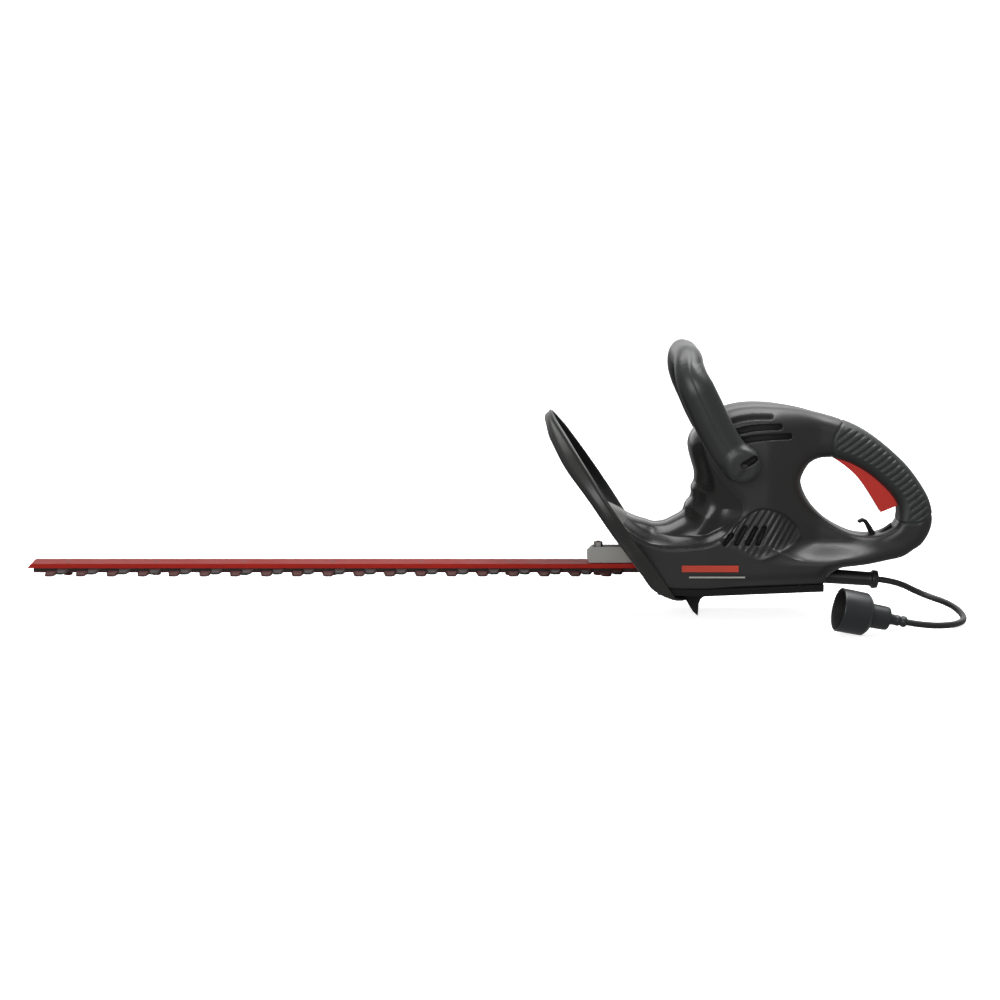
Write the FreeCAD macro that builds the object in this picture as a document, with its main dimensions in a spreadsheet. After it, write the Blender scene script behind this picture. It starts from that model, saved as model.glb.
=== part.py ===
"""Electric hedge trimmer, 22 inch class: an assembly of separate parts, in millimetres.

Frame: +X runs from the blade tip to the rear handle, +Z is up, and the blades lie level.
The origin is on the floor under the middle of the tool, midway between the blade tip and the rear handle.
The tool stands on the foot under its bottom cover, and the cord and plug lie on the floor.
"""

import FreeCAD
import Part
import math
import os
from FreeCAD import Placement, Rotation, Vector

SIZES = {
    # support bar, blades and their bolts
    "bar_tip_x": -451.8, "bar_rear_x": 210, "bar_width": 26, "bar_height": 4.5, "bar_bottom_z": 49,
    "bar_bevel": 4, "blade_thickness": 1.9, "blade_gap": 0.1, "blade_body": 30, "blade_tip_x": -445,
    "blade_rear_x": 258, "tail_start_x": 186, "tail_width": 38, "tooth_pitch": 30.7, "tooth_count": 19,
    "tooth_reach": 35, "tooth_root": 14, "tooth_tip": 9, "tooth_bevel": 1.4,
    "lower_tooth_x": -426.1, "upper_tooth_x": -415.1, "crank_throw": 4, "rest_shift": 1.6,
    "bolt_count": 7, "bolt_pitch": 88.8, "last_bolt_x": 119.5, "bolt_radius": 2.4, "bolt_head": 9.2,
    "bolt_head_height": 4, "washer_radius": 6.5, "washer_thickness": 1, "spacer_radius": 4,
    "slot_clearance": 0.3, "bracket_start_x": 108.3, "bracket_rear_x": 192, "bracket_width": 14,
    "bracket_height": 16, "bracket_chamfer": 5.3, "nut_height": 4.5,
    # gear train
    "gear_x": 231, "motor_x": 266, "gear_bottom_z": 54.5, "gear_height": 9, "gear_root": 28.7,
    "gear_tip": 31, "gear_teeth": 60, "gear_shaft_radius": 4, "gear_shaft_bottom_z": 37.2,
    "gear_shaft_height": 34, "eccentric_radius": 9, "pinion_teeth": 10, "pinion_root": 3.7,
    "pinion_tip": 6, "motor_shaft_radius": 3.6, "motor_shaft_top_z": 192,
    # motor
    "fan_bottom_z": 78, "fan_radius": 29, "fan_height": 9, "stator_bottom_z": 95, "stator_height": 50,
    "stator_radius": 31, "stator_bore": 18.5, "core_radius": 17.9, "coil_height": 6,
    "commutator_bottom_z": 158, "commutator_height": 14, "commutator_radius": 11, "brush_z": 165,
    "bearing_radius": 11, "bearing_width": 7, "lower_bearing_z": 69.5, "upper_bearing_z": 181,
    "mount_radius": 34,
    # gear case
    "case_front_x": 192, "case_rear_x": 284, "case_half_width": 35, "case_bottom_z": 37,
    "case_top_z": 65, "case_wall": 3, "lid_thickness": 3.3,
    # housing
    "body_half_width": 42, "ring_half_width": 17.4, "wall": 2.6, "ring_wall": 3.4, "body_fillet": 6,
    "seam_gap": 0.05, "grip_half_width": 19.2, "grip_skin": 1.6, "vent_height": 6.5, "mouth_half_width": 18,
    "screw_head_radius": 3.9, "screw_radius": 2, "cover_half_width": 42, "foot_half_width": 12,
    # hand guard, set in a plane that leans forward
    "guard_top_x": 72, "guard_top_z": 207, "guard_lean": 33.7, "guard_depth": 14, "guard_wall": 2.5,
    # front handle
    "bail_pivot_x": 257.5, "bail_pivot_z": 158, "bail_lean": 28.1, "bail_reach": 128.6, "bail_outer": 70,
    "bail_inner": 46, "bail_corner": 44, "bail_depth": 16, "bail_wall": 2.8, "bail_end": 16,
    # trigger and switch
    "trigger_pivot_x": 353, "trigger_pivot_z": 166, "trigger_half_width": 8, "trigger_pin_radius": 2,
    "trigger_slot": 8.5, "plunger_x": 371, "plunger_bottom_z": 158.2, "plunger_radius": 2,
    # cord and plug
    "cord_diameter": 6.4, "relief_x": 339, "relief_z": 40.4, "relief_drop": 5, "relief_radius": 7,
    "shroud_radius": 21.3, "shroud_length": 31.2, "shroud_wall": 2.5, "plug_body_length": 19.8,
    "plug_body_radius": 12, "plug_neck_length": 17.6, "plug_neck_radius": 5.6, "hook_half_width": 3.5,
}

doc = FreeCAD.newDocument("hedge_trimmer")
sheet = doc.addObject("Spreadsheet::Sheet", "Dim")
for row, (alias, value) in enumerate(SIZES.items(), start=1):
    sheet.set(f"A{row}", alias)
    sheet.set(f"B{row}", str(value))
    sheet.setAlias(f"B{row}", alias)
doc.recompute()


class Sizes:
    """The sheet's cells as attributes, for what Python works out."""

    def __getattr__(self, name):
        return float(sheet.get(name))


dim = Sizes()
FINAL = []


def final(item, label):
    """Marks an object of the document as a sub-part, under that label."""
    item.Label = label
    FINAL.append(item)
    return item


def put(item, name, value):
    """Sets a property: text is an expression on the sheet, anything else is a plain value."""
    if isinstance(value, str):
        item.setExpression(name, value)
    else:
        setattr(item, name, value)


def place(item, x=0, y=0, z=0, rotation=None):
    """Places an object. Coordinates given as text stay bound to the sheet."""
    numbers = [0 if isinstance(v, str) else v for v in (x, y, z)]
    item.Placement = Placement(Vector(*numbers), rotation or Rotation())
    for axis, v in zip("xyz", (x, y, z)):
        if isinstance(v, str):
            item.setExpression(f"Placement.Base.{axis}", v)
    return item


def make(kind, name, **properties):
    item = doc.addObject(kind, name)
    for key, value in properties.items():
        put(item, key, value)
    return item


def box(name, length, width, height, x=0, y=0, z=0):
    return place(make("Part::Box", name, Length=length, Width=width, Height=height), x, y, z)


def cylinder(name, radius, height, x=0, y=0, z=0, rotation=None):
    return place(make("Part::Cylinder", name, Radius=radius, Height=height), x, y, z, rotation)


def hexagon(name, across_corners, height, x=0, y=0, z=0):
    prism = make("Part::Prism", name, Polygon=6, Circumradius=across_corners, Height=height)
    return place(prism, x, y, z)


def cut(name, base, tool):
    return make("Part::Cut", name, Base=base, Tool=tool)


def fuse(name, *items):
    return make("Part::MultiFuse", name, Shapes=list(items))


def group(name, *items):
    return make("Part::Compound", name, Links=list(items))


def feature(name, shape):
    """A piece whose shape neither PartDesign nor the primitives make well."""
    item = doc.addObject("Part::Feature", name)
    item.Shape = shape
    return item


def body(name):
    return doc.addObject("PartDesign::Body", name)


def plane_of(owner, role):
    return next(f for f in owner.Origin.OriginFeatures if f.Role == role)


def sketch(owner, name, role, edges, offset=0):
    """A sketch on one of the body's own origin planes. On XZ_Plane it draws X and Z, and faces -Y."""
    drawn = owner.newObject("Sketcher::SketchObject", name)
    drawn.AttachmentSupport = (plane_of(owner, role), [""])
    drawn.MapMode = "FlatFace"
    if isinstance(offset, str):
        drawn.setExpression("AttachmentOffset.Base.z", offset)
    else:
        drawn.AttachmentOffset = Placement(Vector(0, 0, offset), Rotation())
    drawn.addGeometry(edges, False)
    return drawn


def pad(owner, name, profile, length, reverse=False):
    made = owner.newObject("PartDesign::Pad", name)
    made.Profile = profile
    put(made, "Length", length)
    made.Reversed = reverse
    return made


def pocket(owner, name, profile, length, reverse=False):
    made = owner.newObject("PartDesign::Pocket", name)
    made.Profile = profile
    put(made, "Length", length)
    made.Reversed = reverse
    return made


def chain(points, closed=True):
    """Straight edges through the points, as (x, y) pairs of a sketch."""
    ends = list(zip(points, points[1:] + points[:1])) if closed else list(zip(points, points[1:]))
    return [Part.LineSegment(Vector(*a, 0), Vector(*b, 0)) for a, b in ends]


def curve(points, closed=False):
    """A smooth curve through the points."""
    spline = Part.BSplineCurve()
    spline.interpolate(Points=[Vector(*p, 0) for p in points], PeriodicFlag=closed)
    return spline


def circle(x, y, radius):
    return Part.Circle(Vector(x, y, 0), Vector(0, 0, 1), radius)


def slot(x0, y0, x1, y1, radius):
    """A slot with round ends, from one centre to the other."""
    along = Vector(x1 - x0, y1 - y0, 0).normalize()
    side = Vector(-along.y, along.x, 0) * radius
    a, b = Vector(x0, y0, 0), Vector(x1, y1, 0)
    reach = along * radius
    return [
        Part.LineSegment(a + side, b + side),
        Part.Arc(b + side, b + reach, b - side),
        Part.LineSegment(b - side, a - side),
        Part.Arc(a - side, a - reach, a + side),
    ]


def offset_curve(points, distance, samples, closed=True):
    """Points of the smooth closed curve through the given ones, moved to its left by distance."""
    spline = curve(points, closed)
    first, last = spline.FirstParameter, spline.LastParameter
    moved = []
    for i in range(samples):
        at = first + (last - first) * i / (samples if closed else samples - 1)
        tangent = spline.tangent(at)[0]
        p = spline.value(at)
        moved.append((p.x - tangent.y * distance, p.y + tangent.x * distance))
    return moved


# ---------------------------------------------------------------- cutting bar

def support_bar():
    """Solid steel bar over the blades. Its tip is cut at a slant, and each blade bolt has a hole in it."""
    owner = body("support_bar")
    low, high = dim.bar_bottom_z, dim.bar_bottom_z + dim.bar_height
    side = [(dim.bar_tip_x, low), (dim.bar_rear_x, low), (dim.bar_rear_x, high),
            (dim.bar_tip_x + dim.bar_bevel, high)]
    outline = sketch(owner, "bar_side", "XZ_Plane", chain(side), "-Dim.bar_width / 2")
    pad(owner, "bar_solid", outline, "Dim.bar_width")
    hole = sketch(owner, "bar_hole", "XY_Plane", [circle(dim.last_bolt_x, 0, dim.bolt_radius)], "Dim.bar_bottom_z")
    drilled = pocket(owner, "bar_hole_cut", hole, "Dim.bar_height", reverse=True)
    row = owner.newObject("PartDesign::LinearPattern", "bar_holes")
    row.Originals = [drilled]
    row.Direction = (hole, ["H_Axis"])
    row.Reversed = True
    row.setExpression("Length", "Dim.bolt_pitch * (Dim.bolt_count - 1)")
    row.setExpression("Occurrences", "Dim.bolt_count")
    owner.Tip = row
    final(owner, "support_bar")


def blade(label, bottom, first_tooth, shift):
    """One reciprocating blade: a strip with a row of two-ended teeth, slots for the bolts and a drive window."""
    owner = body(label)
    half, tail = dim.blade_body / 2, dim.tail_width / 2
    strip = [(dim.blade_tip_x, -half), (dim.tail_start_x, -half), (dim.tail_start_x + half, -tail),
             (dim.blade_rear_x, -tail), (dim.blade_rear_x, tail), (dim.tail_start_x + half, tail),
             (dim.tail_start_x, half), (dim.blade_tip_x, half)]
    plate = sketch(owner, label + "_strip", "XY_Plane", chain(strip), bottom)
    pad(owner, label + "_plate", plate, "Dim.blade_thickness")

    def rung(inset):
        tip, root = dim.tooth_tip / 2 - inset, dim.tooth_root / 2 - inset
        reach = dim.tooth_reach - inset
        right = [(tip * 0.6, -reach), (tip, -reach + 2.5), (root, -half), (root, half),
                 (tip, reach - 2.5), (tip * 0.6, reach)]
        left = [(-x, y) for x, y in reversed(right)]
        return [(first_tooth + x, y) for x, y in right + left]

    low = sketch(owner, label + "_tooth_low", "XY_Plane", chain(rung(0)), bottom)
    top = f"{bottom} + Dim.blade_thickness"
    high = sketch(owner, label + "_tooth_high", "XY_Plane", chain(rung(dim.tooth_bevel)), top)
    tooth = owner.newObject("PartDesign::AdditiveLoft", label + "_tooth")
    tooth.Profile = low
    tooth.Sections = [high]
    tooth.Ruled = True
    row = owner.newObject("PartDesign::LinearPattern", label + "_teeth")
    row.Originals = [tooth]
    row.Direction = (low, ["H_Axis"])
    row.setExpression("Length", "Dim.tooth_pitch * (Dim.tooth_count - 1)")
    row.setExpression("Occurrences", "Dim.tooth_count")
    owner.Tip = row
    slots = []
    play = dim.crank_throw + dim.slot_clearance
    for i in range(int(dim.bolt_count)):
        x = dim.last_bolt_x - i * dim.bolt_pitch + shift
        slots += slot(x - play, 0, x + play, 0, dim.spacer_radius + dim.slot_clearance)
    openings = sketch(owner, label + "_slots", "XY_Plane", slots, bottom)
    pocket(owner, label + "_slot_cut", openings, "Dim.blade_thickness", reverse=True)
    swept = dim.crank_throw + dim.eccentric_radius
    reach, wide = swept + play + 0.2, swept + 0.5
    x = dim.gear_x + shift
    window = [(x - reach, -wide), (x + reach, -wide), (x + reach, wide), (x - reach, wide)]
    opening = sketch(owner, label + "_window", "XY_Plane", chain(window), bottom)
    pocket(owner, label + "_window_cut", opening, "Dim.blade_thickness", reverse=True)
    final(owner, label)


UPPER_Z = "(Dim.bar_bottom_z - Dim.blade_gap - Dim.blade_thickness)"
LOWER_Z = "(Dim.bar_bottom_z - 2 * (Dim.blade_gap + Dim.blade_thickness))"
STACK = "2 * (Dim.blade_gap + Dim.blade_thickness) + Dim.blade_gap"
SPACER_Z = f"(Dim.bar_bottom_z - ({STACK}))"


def blade_fasteners():
    """Bolts from below, each with a washer and a spacer that the blades slide on. The last goes up through
    the bracket to a nut."""
    bolts, washers, spacers = [], [], []
    washer_z = f"({SPACER_Z} - Dim.washer_thickness)"
    head_z = f"({washer_z} - Dim.bolt_head_height)"
    for i in range(int(dim.bolt_count)):
        x = f"Dim.last_bolt_x - {i} * Dim.bolt_pitch"
        top = "Dim.bar_bottom_z + Dim.bar_height"
        if i == 0:
            top += " + Dim.bracket_height + Dim.nut_height + 0.6"
        head = hexagon(f"bolt_head_{i}", "Dim.bolt_head / 2", "Dim.bolt_head_height", x, 0, head_z)
        shank_z = f"({head_z} + 1)"
        shank = cylinder(f"bolt_shank_{i}", "Dim.bolt_radius", f"{top} - {shank_z}", x, 0, shank_z)
        bolts.append(fuse(f"bolt_{i}", head, shank))
        for name, radius, height, z, made in (
            ("washer", "Dim.washer_radius", "Dim.washer_thickness", washer_z, washers),
            ("spacer", "Dim.spacer_radius", STACK, SPACER_Z, spacers),
        ):
            disc = cylinder(f"{name}_disc_{i}", radius, height, x, 0, z)
            hole = cylinder(f"{name}_hole_{i}", "Dim.bolt_radius", height, x, 0, z)
            made.append(cut(f"{name}_{i}", disc, hole))
    final(group("blade_bolts", *bolts), "blade_bolts")
    final(group("blade_washers", *washers), "blade_washers")
    final(group("blade_spacers", *spacers), "blade_spacers")
    nut_z = "Dim.bar_bottom_z + Dim.bar_height + Dim.bracket_height"
    nut = hexagon("nut_blank", "Dim.bolt_head / 2", "Dim.nut_height", "Dim.last_bolt_x", 0, nut_z)
    bore = cylinder("nut_bore", "Dim.bolt_radius", "Dim.nut_height", "Dim.last_bolt_x", 0, nut_z)
    final(cut("bracket_nut", nut, bore), "bracket_nut")


def blade_bracket():
    """Aluminium nose block that clamps the bar to the gear case. Its front end is chamfered."""
    owner = body("blade_bracket")
    low = dim.bar_bottom_z + dim.bar_height
    high, front, c = low + dim.bracket_height, dim.bracket_start_x, dim.bracket_chamfer
    side = [(front + c * 0.35, low), (dim.bracket_rear_x, low), (dim.bracket_rear_x, high - c),
            (dim.bracket_rear_x - c, high), (front + c, high), (front, high - c), (front, low + c * 0.8)]
    outline = sketch(owner, "bracket_side", "XZ_Plane", chain(side), "-Dim.bracket_width / 2")
    pad(owner, "bracket_block", outline, "Dim.bracket_width")
    hole = sketch(owner, "bracket_hole", "XY_Plane", [circle(dim.last_bolt_x, 0, dim.bolt_radius)], low)
    pocket(owner, "bracket_hole_cut", hole, "Dim.bracket_height", reverse=True)
    final(owner, "blade_bracket")


# ---------------------------------------------------------------- gear train

def toothed(owner, name, x, root, tip, teeth, base_half, tip_half, first_angle, bottom, height):
    """A toothed wheel: a blank at the root radius, and one tooth repeated round it."""
    blank = sketch(owner, name + "_blank", "XY_Plane", [circle(0, 0, root)], bottom)
    pad(owner, name + "_disc", blank, height)
    a = math.radians(first_angle)
    inner = root - 0.6
    corners = [(inner, -base_half), (tip, -tip_half), (tip, tip_half), (inner, base_half)]
    turned = [(r * math.cos(a) - s * math.sin(a), r * math.sin(a) + s * math.cos(a)) for r, s in corners]
    drawn = sketch(owner, name + "_tooth_profile", "XY_Plane", chain(turned), bottom)
    tooth = pad(owner, name + "_tooth", drawn, height)
    ring = owner.newObject("PartDesign::PolarPattern", name + "_teeth")
    ring.Originals = [tooth]
    ring.Axis = (drawn, ["N_Axis"])
    ring.Angle = 360
    ring.Occurrences = teeth
    owner.Tip = ring
    place(owner, x, 0, 0)


def drive_gear():
    """Reduction gear on the crank shaft, with a hub and four lightening holes."""
    owner = body("drive_gear")
    toothed(owner, "gear", "Dim.gear_x", dim.gear_root, dim.gear_tip, int(dim.gear_teeth), 0.85, 0.4, 0,
            "Dim.gear_bottom_z", "Dim.gear_height")
    bore = [circle(0, 0, dim.gear_shaft_radius)]
    for i in range(4):
        a = math.radians(45 + 90 * i)
        bore.append(circle(17 * math.cos(a), 17 * math.sin(a), 5.5))
    holes = sketch(owner, "gear_bore", "XY_Plane", bore, "Dim.gear_bottom_z")
    pocket(owner, "gear_bore_cut", holes, "Dim.gear_height", reverse=True)
    final(owner, "drive_gear")


def pinion_shaft():
    """Motor shaft with the pinion cut on its lower end."""
    owner = body("motor_shaft")
    half_step = 180 / dim.pinion_teeth
    toothed(owner, "pinion", "Dim.motor_x", dim.pinion_root, dim.pinion_tip, int(dim.pinion_teeth), 0.7, 0.35,
            half_step, "Dim.gear_bottom_z", "Dim.gear_height")
    spindle = sketch(owner, "spindle_profile", "XY_Plane", [circle(0, 0, dim.motor_shaft_radius)], "Dim.gear_bottom_z")
    pad(owner, "spindle", spindle, "Dim.motor_shaft_top_z - Dim.gear_bottom_z")
    final(owner, "motor_shaft")


def crank():
    """Vertical crank shaft and its two opposed eccentrics, which drive the blades in opposite directions."""
    shaft = cylinder("gear_shaft", "Dim.gear_shaft_radius", "Dim.gear_shaft_height", "Dim.gear_x", 0,
                     "Dim.gear_shaft_bottom_z")
    final(shaft, "gear_shaft")
    side = math.sqrt(dim.crank_throw**2 - dim.rest_shift**2)
    discs = []
    for name, bottom, sign in (("upper", UPPER_Z, 1), ("lower", LOWER_Z, -1)):
        x = f"Dim.gear_x + {sign} * Dim.rest_shift"
        disc = cylinder(f"{name}_disc", "Dim.eccentric_radius", "Dim.blade_thickness", x, sign * side, bottom)
        discs.append(disc)
    between = cylinder("eccentric_web", 4.6, "Dim.blade_gap", "Dim.gear_x", 0, f"{LOWER_Z} + Dim.blade_thickness")
    collar = cylinder("eccentric_collar", 7, f"Dim.gear_bottom_z - {UPPER_Z} - Dim.blade_thickness", "Dim.gear_x", 0,
                      f"{UPPER_Z} + Dim.blade_thickness")
    stack = fuse("eccentric_stack", *discs, between, collar)
    bore = cylinder("eccentric_bore", "Dim.gear_shaft_radius", "Dim.gear_shaft_height", "Dim.gear_x", 0,
                    "Dim.gear_shaft_bottom_z")
    final(cut("eccentrics", stack, bore), "eccentrics")


def ring(name, outer, inner, height, x, z):
    disc = cylinder(name + "_outer", outer, height, x, 0, z)
    hole = cylinder(name + "_inner", inner, height, x, 0, z)
    return cut(name, disc, hole)


def bearings():
    final(ring("lower_bearing", "Dim.bearing_radius", "Dim.motor_shaft_radius + 0.05", "Dim.bearing_width",
               "Dim.motor_x", "Dim.lower_bearing_z"), "lower_motor_bearing")
    final(ring("upper_bearing", "Dim.bearing_radius", "Dim.motor_shaft_radius + 0.05", "Dim.bearing_width",
               "Dim.motor_x", "Dim.upper_bearing_z"), "upper_motor_bearing")
    bushes = [ring(f"crank_bush_{i}", 7, "Dim.gear_shaft_radius + 0.05", "Dim.case_wall", "Dim.gear_x", z)
              for i, z in enumerate(("Dim.case_bottom_z", "Dim.case_top_z"))]
    final(group("crank_bushes", *bushes), "crank_bushes")


# ---------------------------------------------------------------- motor

def motor():
    """Series motor on a vertical shaft: laminated field with its coils, armature, commutator and brushes."""
    final(ring("stator", "Dim.stator_radius", "Dim.stator_bore", "Dim.stator_height", "Dim.motor_x",
               "Dim.stator_bottom_z"), "motor_stator")
    ends = [ring(f"coil_{i}", "Dim.stator_radius - 3", "Dim.stator_bore + 0.6", "Dim.coil_height", "Dim.motor_x", z)
            for i, z in enumerate(("Dim.stator_bottom_z - Dim.coil_height",
                                   "Dim.stator_bottom_z + Dim.stator_height"))]
    final(group("field_coils", *ends), "field_coils")
    core = body("armature_core")
    toothed(core, "core", "Dim.motor_x", 14, dim.core_radius, 12, 1.4, 3.0, 15, "Dim.stator_bottom_z",
            "Dim.stator_height")
    bore = sketch(core, "core_bore", "XY_Plane", [circle(0, 0, dim.motor_shaft_radius)], "Dim.stator_bottom_z")
    pocket(core, "core_bore_cut", bore, "Dim.stator_height", reverse=True)
    final(core, "armature_core")
    windings = [ring(f"winding_{i}", 15.5, "Dim.motor_shaft_radius", 7, "Dim.motor_x", z)
                for i, z in enumerate(("Dim.stator_bottom_z - 7", "Dim.stator_bottom_z + Dim.stator_height"))]
    final(group("armature_windings", *windings), "armature_windings")
    segments = body("commutator")
    toothed(segments, "commutator", "Dim.motor_x", dim.commutator_radius - 1.2, dim.commutator_radius, 24, 1.15, 1.2,
            0, "Dim.commutator_bottom_z", "Dim.commutator_height")
    hole = sketch(segments, "commutator_bore", "XY_Plane", [circle(0, 0, dim.motor_shaft_radius)],
                  "Dim.commutator_bottom_z")
    pocket(segments, "commutator_bore_cut", hole, "Dim.commutator_height", reverse=True)
    final(segments, "commutator")
    brushes, holders = [], []
    for side in (-1, 1):
        start = dim.commutator_radius + 0.3 if side > 0 else -dim.commutator_radius - 0.3 - 15
        brushes.append(box(f"brush_{side + 1}", 6, 15, 9, "Dim.motor_x - 3", start, "Dim.brush_z - 4.5"))
        sleeve_start = start + (4 if side > 0 else -6)
        sleeve = box(f"sleeve_{side + 1}", 10, 17, 13, "Dim.motor_x - 5", sleeve_start, "Dim.brush_z - 6.5")
        bore = box(f"sleeve_bore_{side + 1}", 6, 13, 9, "Dim.motor_x - 3", start + (2 if side > 0 else 0),
                   "Dim.brush_z - 4.5")
        holders.append(cut(f"holder_{side + 1}", sleeve, bore))
    final(group("carbon_brushes", *brushes), "carbon_brushes")
    final(group("brush_holders", *holders), "brush_holders")


def cooling_fan():
    """Radial fan under the motor: a disc with a hub and twelve blades."""
    owner = body("cooling_fan")
    disc = sketch(owner, "fan_disc_profile", "XY_Plane", [circle(0, 0, dim.fan_radius)], "Dim.fan_bottom_z")
    pad(owner, "fan_disc", disc, 1.6)
    hub = sketch(owner, "fan_hub_profile", "XY_Plane", [circle(0, 0, 8)], "Dim.fan_bottom_z")
    pad(owner, "fan_hub", hub, "Dim.fan_height")
    vane = sketch(owner, "fan_vane_profile", "XY_Plane",
                  chain([(11, -0.8), (dim.fan_radius - 0.5, 3.2), (dim.fan_radius - 0.5, 4.8), (11, 0.8)]),
                  "Dim.fan_bottom_z")
    blade_pad = pad(owner, "fan_vane", vane, "Dim.fan_height")
    vanes = owner.newObject("PartDesign::PolarPattern", "fan_vanes")
    vanes.Originals = [blade_pad]
    vanes.Axis = (vane, ["N_Axis"])
    vanes.Angle = 360
    vanes.Occurrences = 12
    owner.Tip = vanes
    bore = sketch(owner, "fan_bore", "XY_Plane", [circle(0, 0, dim.motor_shaft_radius)], "Dim.fan_bottom_z")
    pocket(owner, "fan_bore_cut", bore, "Dim.fan_height", reverse=True)
    place(owner, "Dim.motor_x", 0, 0)
    final(owner, "cooling_fan")


# ---------------------------------------------------------------- gear case

def gear_case():
    """Cast tray that holds the gears and guides the blades, and the lid over it."""
    owner = body("gear_case")
    half, wall = dim.case_half_width, dim.case_wall
    front, rear = dim.case_front_x, dim.case_rear_x

    def plan(inset):
        a, b, h, c = front + inset, rear - inset, half - inset, 12 - inset * 0.6
        return chain([(a + c, -h), (b - c, -h), (b, -h + c), (b, h - c), (b - c, h), (a + c, h), (a, h - c), (a, -h + c)])

    outer = sketch(owner, "case_plan", "XY_Plane", plan(0), "Dim.case_bottom_z")
    pad(owner, "case_block", outer, "Dim.case_top_z - Dim.case_bottom_z")
    inner = sketch(owner, "case_cavity", "XY_Plane", plan(wall), "Dim.case_bottom_z + Dim.case_wall")
    pocket(owner, "case_cavity_cut", inner, "Dim.case_top_z - Dim.case_bottom_z - Dim.case_wall", reverse=True)
    low, high = dim.bar_bottom_z - 9, dim.bar_bottom_z + dim.bar_height
    mouth = [(-21, low), (21, low), (21, high), (-21, high)]
    slit = sketch(owner, "case_mouth", "YZ_Plane", chain(mouth), "Dim.case_front_x - 1")
    pocket(owner, "case_mouth_cut", slit, "Dim.case_wall + 2", reverse=True)
    bush = sketch(owner, "case_bush_seat", "XY_Plane", [circle(dim.gear_x, 0, 7)], "Dim.case_bottom_z")
    pocket(owner, "case_bush_cut", bush, "Dim.case_wall", reverse=True)
    final(owner, "gear_case")

    lid = body("gear_case_lid")
    c = 12
    outline = chain([(front + c, -half), (rear - c, -half), (rear, -half + c), (rear, half - c), (rear - c, half),
                     (front + c, half), (front, half - c), (front, -half + c)])
    plate = sketch(lid, "lid_plan", "XY_Plane", outline, "Dim.case_top_z")
    pad(lid, "lid_plate", plate, "Dim.lid_thickness")
    boss = sketch(lid, "lid_boss", "XY_Plane", [circle(dim.motor_x, 0, 14)], "Dim.case_top_z")
    pad(lid, "lid_boss_pad", boss, "Dim.lower_bearing_z + Dim.bearing_width - Dim.case_top_z")
    seat = sketch(lid, "lid_seat", "XY_Plane", [circle(dim.motor_x, 0, dim.bearing_radius)], "Dim.lower_bearing_z")
    pocket(lid, "lid_seat_cut", seat, "Dim.bearing_width", reverse=True)
    holes = [circle(dim.motor_x, 0, dim.pinion_tip + 0.6), circle(dim.gear_x, 0, 7)]
    through = sketch(lid, "lid_holes", "XY_Plane", holes, "Dim.case_top_z")
    pocket(lid, "lid_holes_cut", through, "Dim.lower_bearing_z - Dim.case_top_z", reverse=True)
    final(lid, "gear_case_lid")


# ---------------------------------------------------------------- housing

def guard_point(down, out):
    """X and Z of a point of the guard's plane: down its slope from the top, and out towards the rear."""
    lean = math.radians(dim.guard_lean)
    return (dim.guard_top_x + down * math.sin(lean) + out * math.cos(lean),
            dim.guard_top_z - down * math.cos(lean) + out * math.sin(lean))


def outline(runs):
    """Edges of a closed outline: a run of two points is straight, a longer one is a smooth curve."""
    edges = []
    for run in runs:
        if len(run) == 2:
            edges.append(Part.LineSegment(Vector(*run[0], 0), Vector(*run[1], 0)))
        else:
            edges.append(curve(run))
    return edges


def inset(runs, distance):
    """The same counter-clockwise runs, with every point moved inwards by distance."""
    loop = [p for run in runs for p in run[:-1]]
    moved = []
    for i, (x, y) in enumerate(loop):
        before, after = loop[i - 1], loop[(i + 1) % len(loop)]
        a = Vector(x - before[0], y - before[1], 0).normalize()
        b = Vector(after[0] - x, after[1] - y, 0).normalize()
        normal = Vector(-a.y - b.y, a.x + b.x, 0)
        reach = 2 * distance / normal.Length**2
        moved.append((x + normal.x * reach, y + normal.y * reach))
    result, at = [], 0
    for run in runs:
        picked = [moved[(at + k) % len(moved)] for k in range(len(run))]
        result.append(picked)
        at += len(run) - 1
    return result


NOSE_TOP = guard_point(103, dim.guard_wall - dim.guard_depth)
NOSE_BOTTOM = guard_point(200, dim.guard_wall - dim.guard_depth)
BODY_RUNS = [
    [NOSE_BOTTOM, (221, 33.3)],
    [(221, 33.3), (341, 38.2)],
    [(341, 38.2), (341, 74)],
    [(341, 74), (335, 92), (322, 106), (312, 120), (309, 136), (312, 158), (316, 180), (318.8, 210.6)],
    [(318.8, 210.6), (290.8, 214.5), (275.6, 215.7), (264.2, 215.3), (252.9, 213.4), (242.2, 210.7),
     (224, 197), (211.5, 184.6), (208.6, 173.8), (209.5, 163.8), (212, 153), (214, 136.7), (211.3, 118.8),
     (205.6, 109.5), (192.8, 98.7), (175, 94.1), (152.5, 101), (136, 109), NOSE_TOP],
    [NOSE_TOP, NOSE_BOTTOM],
]
RING_TOP = [(452.2, 93.2), (452.2, 103.6), (449, 116), (443.4, 127.4), (432.8, 142.9), (422.2, 155.3),
            (406.5, 169.7), (391, 181.5), (376.5, 190.2), (362.2, 196.3)]
RING_RUNS = [
    [(300, 56), (341, 52)],
    [(341, 52), (355, 50.6), (371.9, 50.5), (391.1, 52.6), (406.4, 55.2), (419.4, 56.6), (426.3, 58.5),
     (434.2, 65), (442.2, 72.3), (449, 82.8), RING_TOP[0]],
    RING_TOP,
    [RING_TOP[-1], (349.9, 201.5), (334.6, 206.1), (318.8, 209.5)],
    [(318.8, 209.5), (300, 206)],
    [(300, 206), (300, 56)],
]
LOOP = [(320, 135.7), (322.2, 145), (328.7, 154.3), (337.8, 158.8), (347.9, 159.9), (355, 157.8), (371.4, 153.2),
        (386.9, 144), (398.5, 134.7), (409, 124.3), (416.4, 114), (418.7, 103.6), (417.9, 95.3), (413, 90.1),
        (397.8, 82.7), (378.4, 82.7), (362.9, 87.9), (347.4, 97.3), (334.9, 108.8), (325.4, 122.2)]
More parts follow.
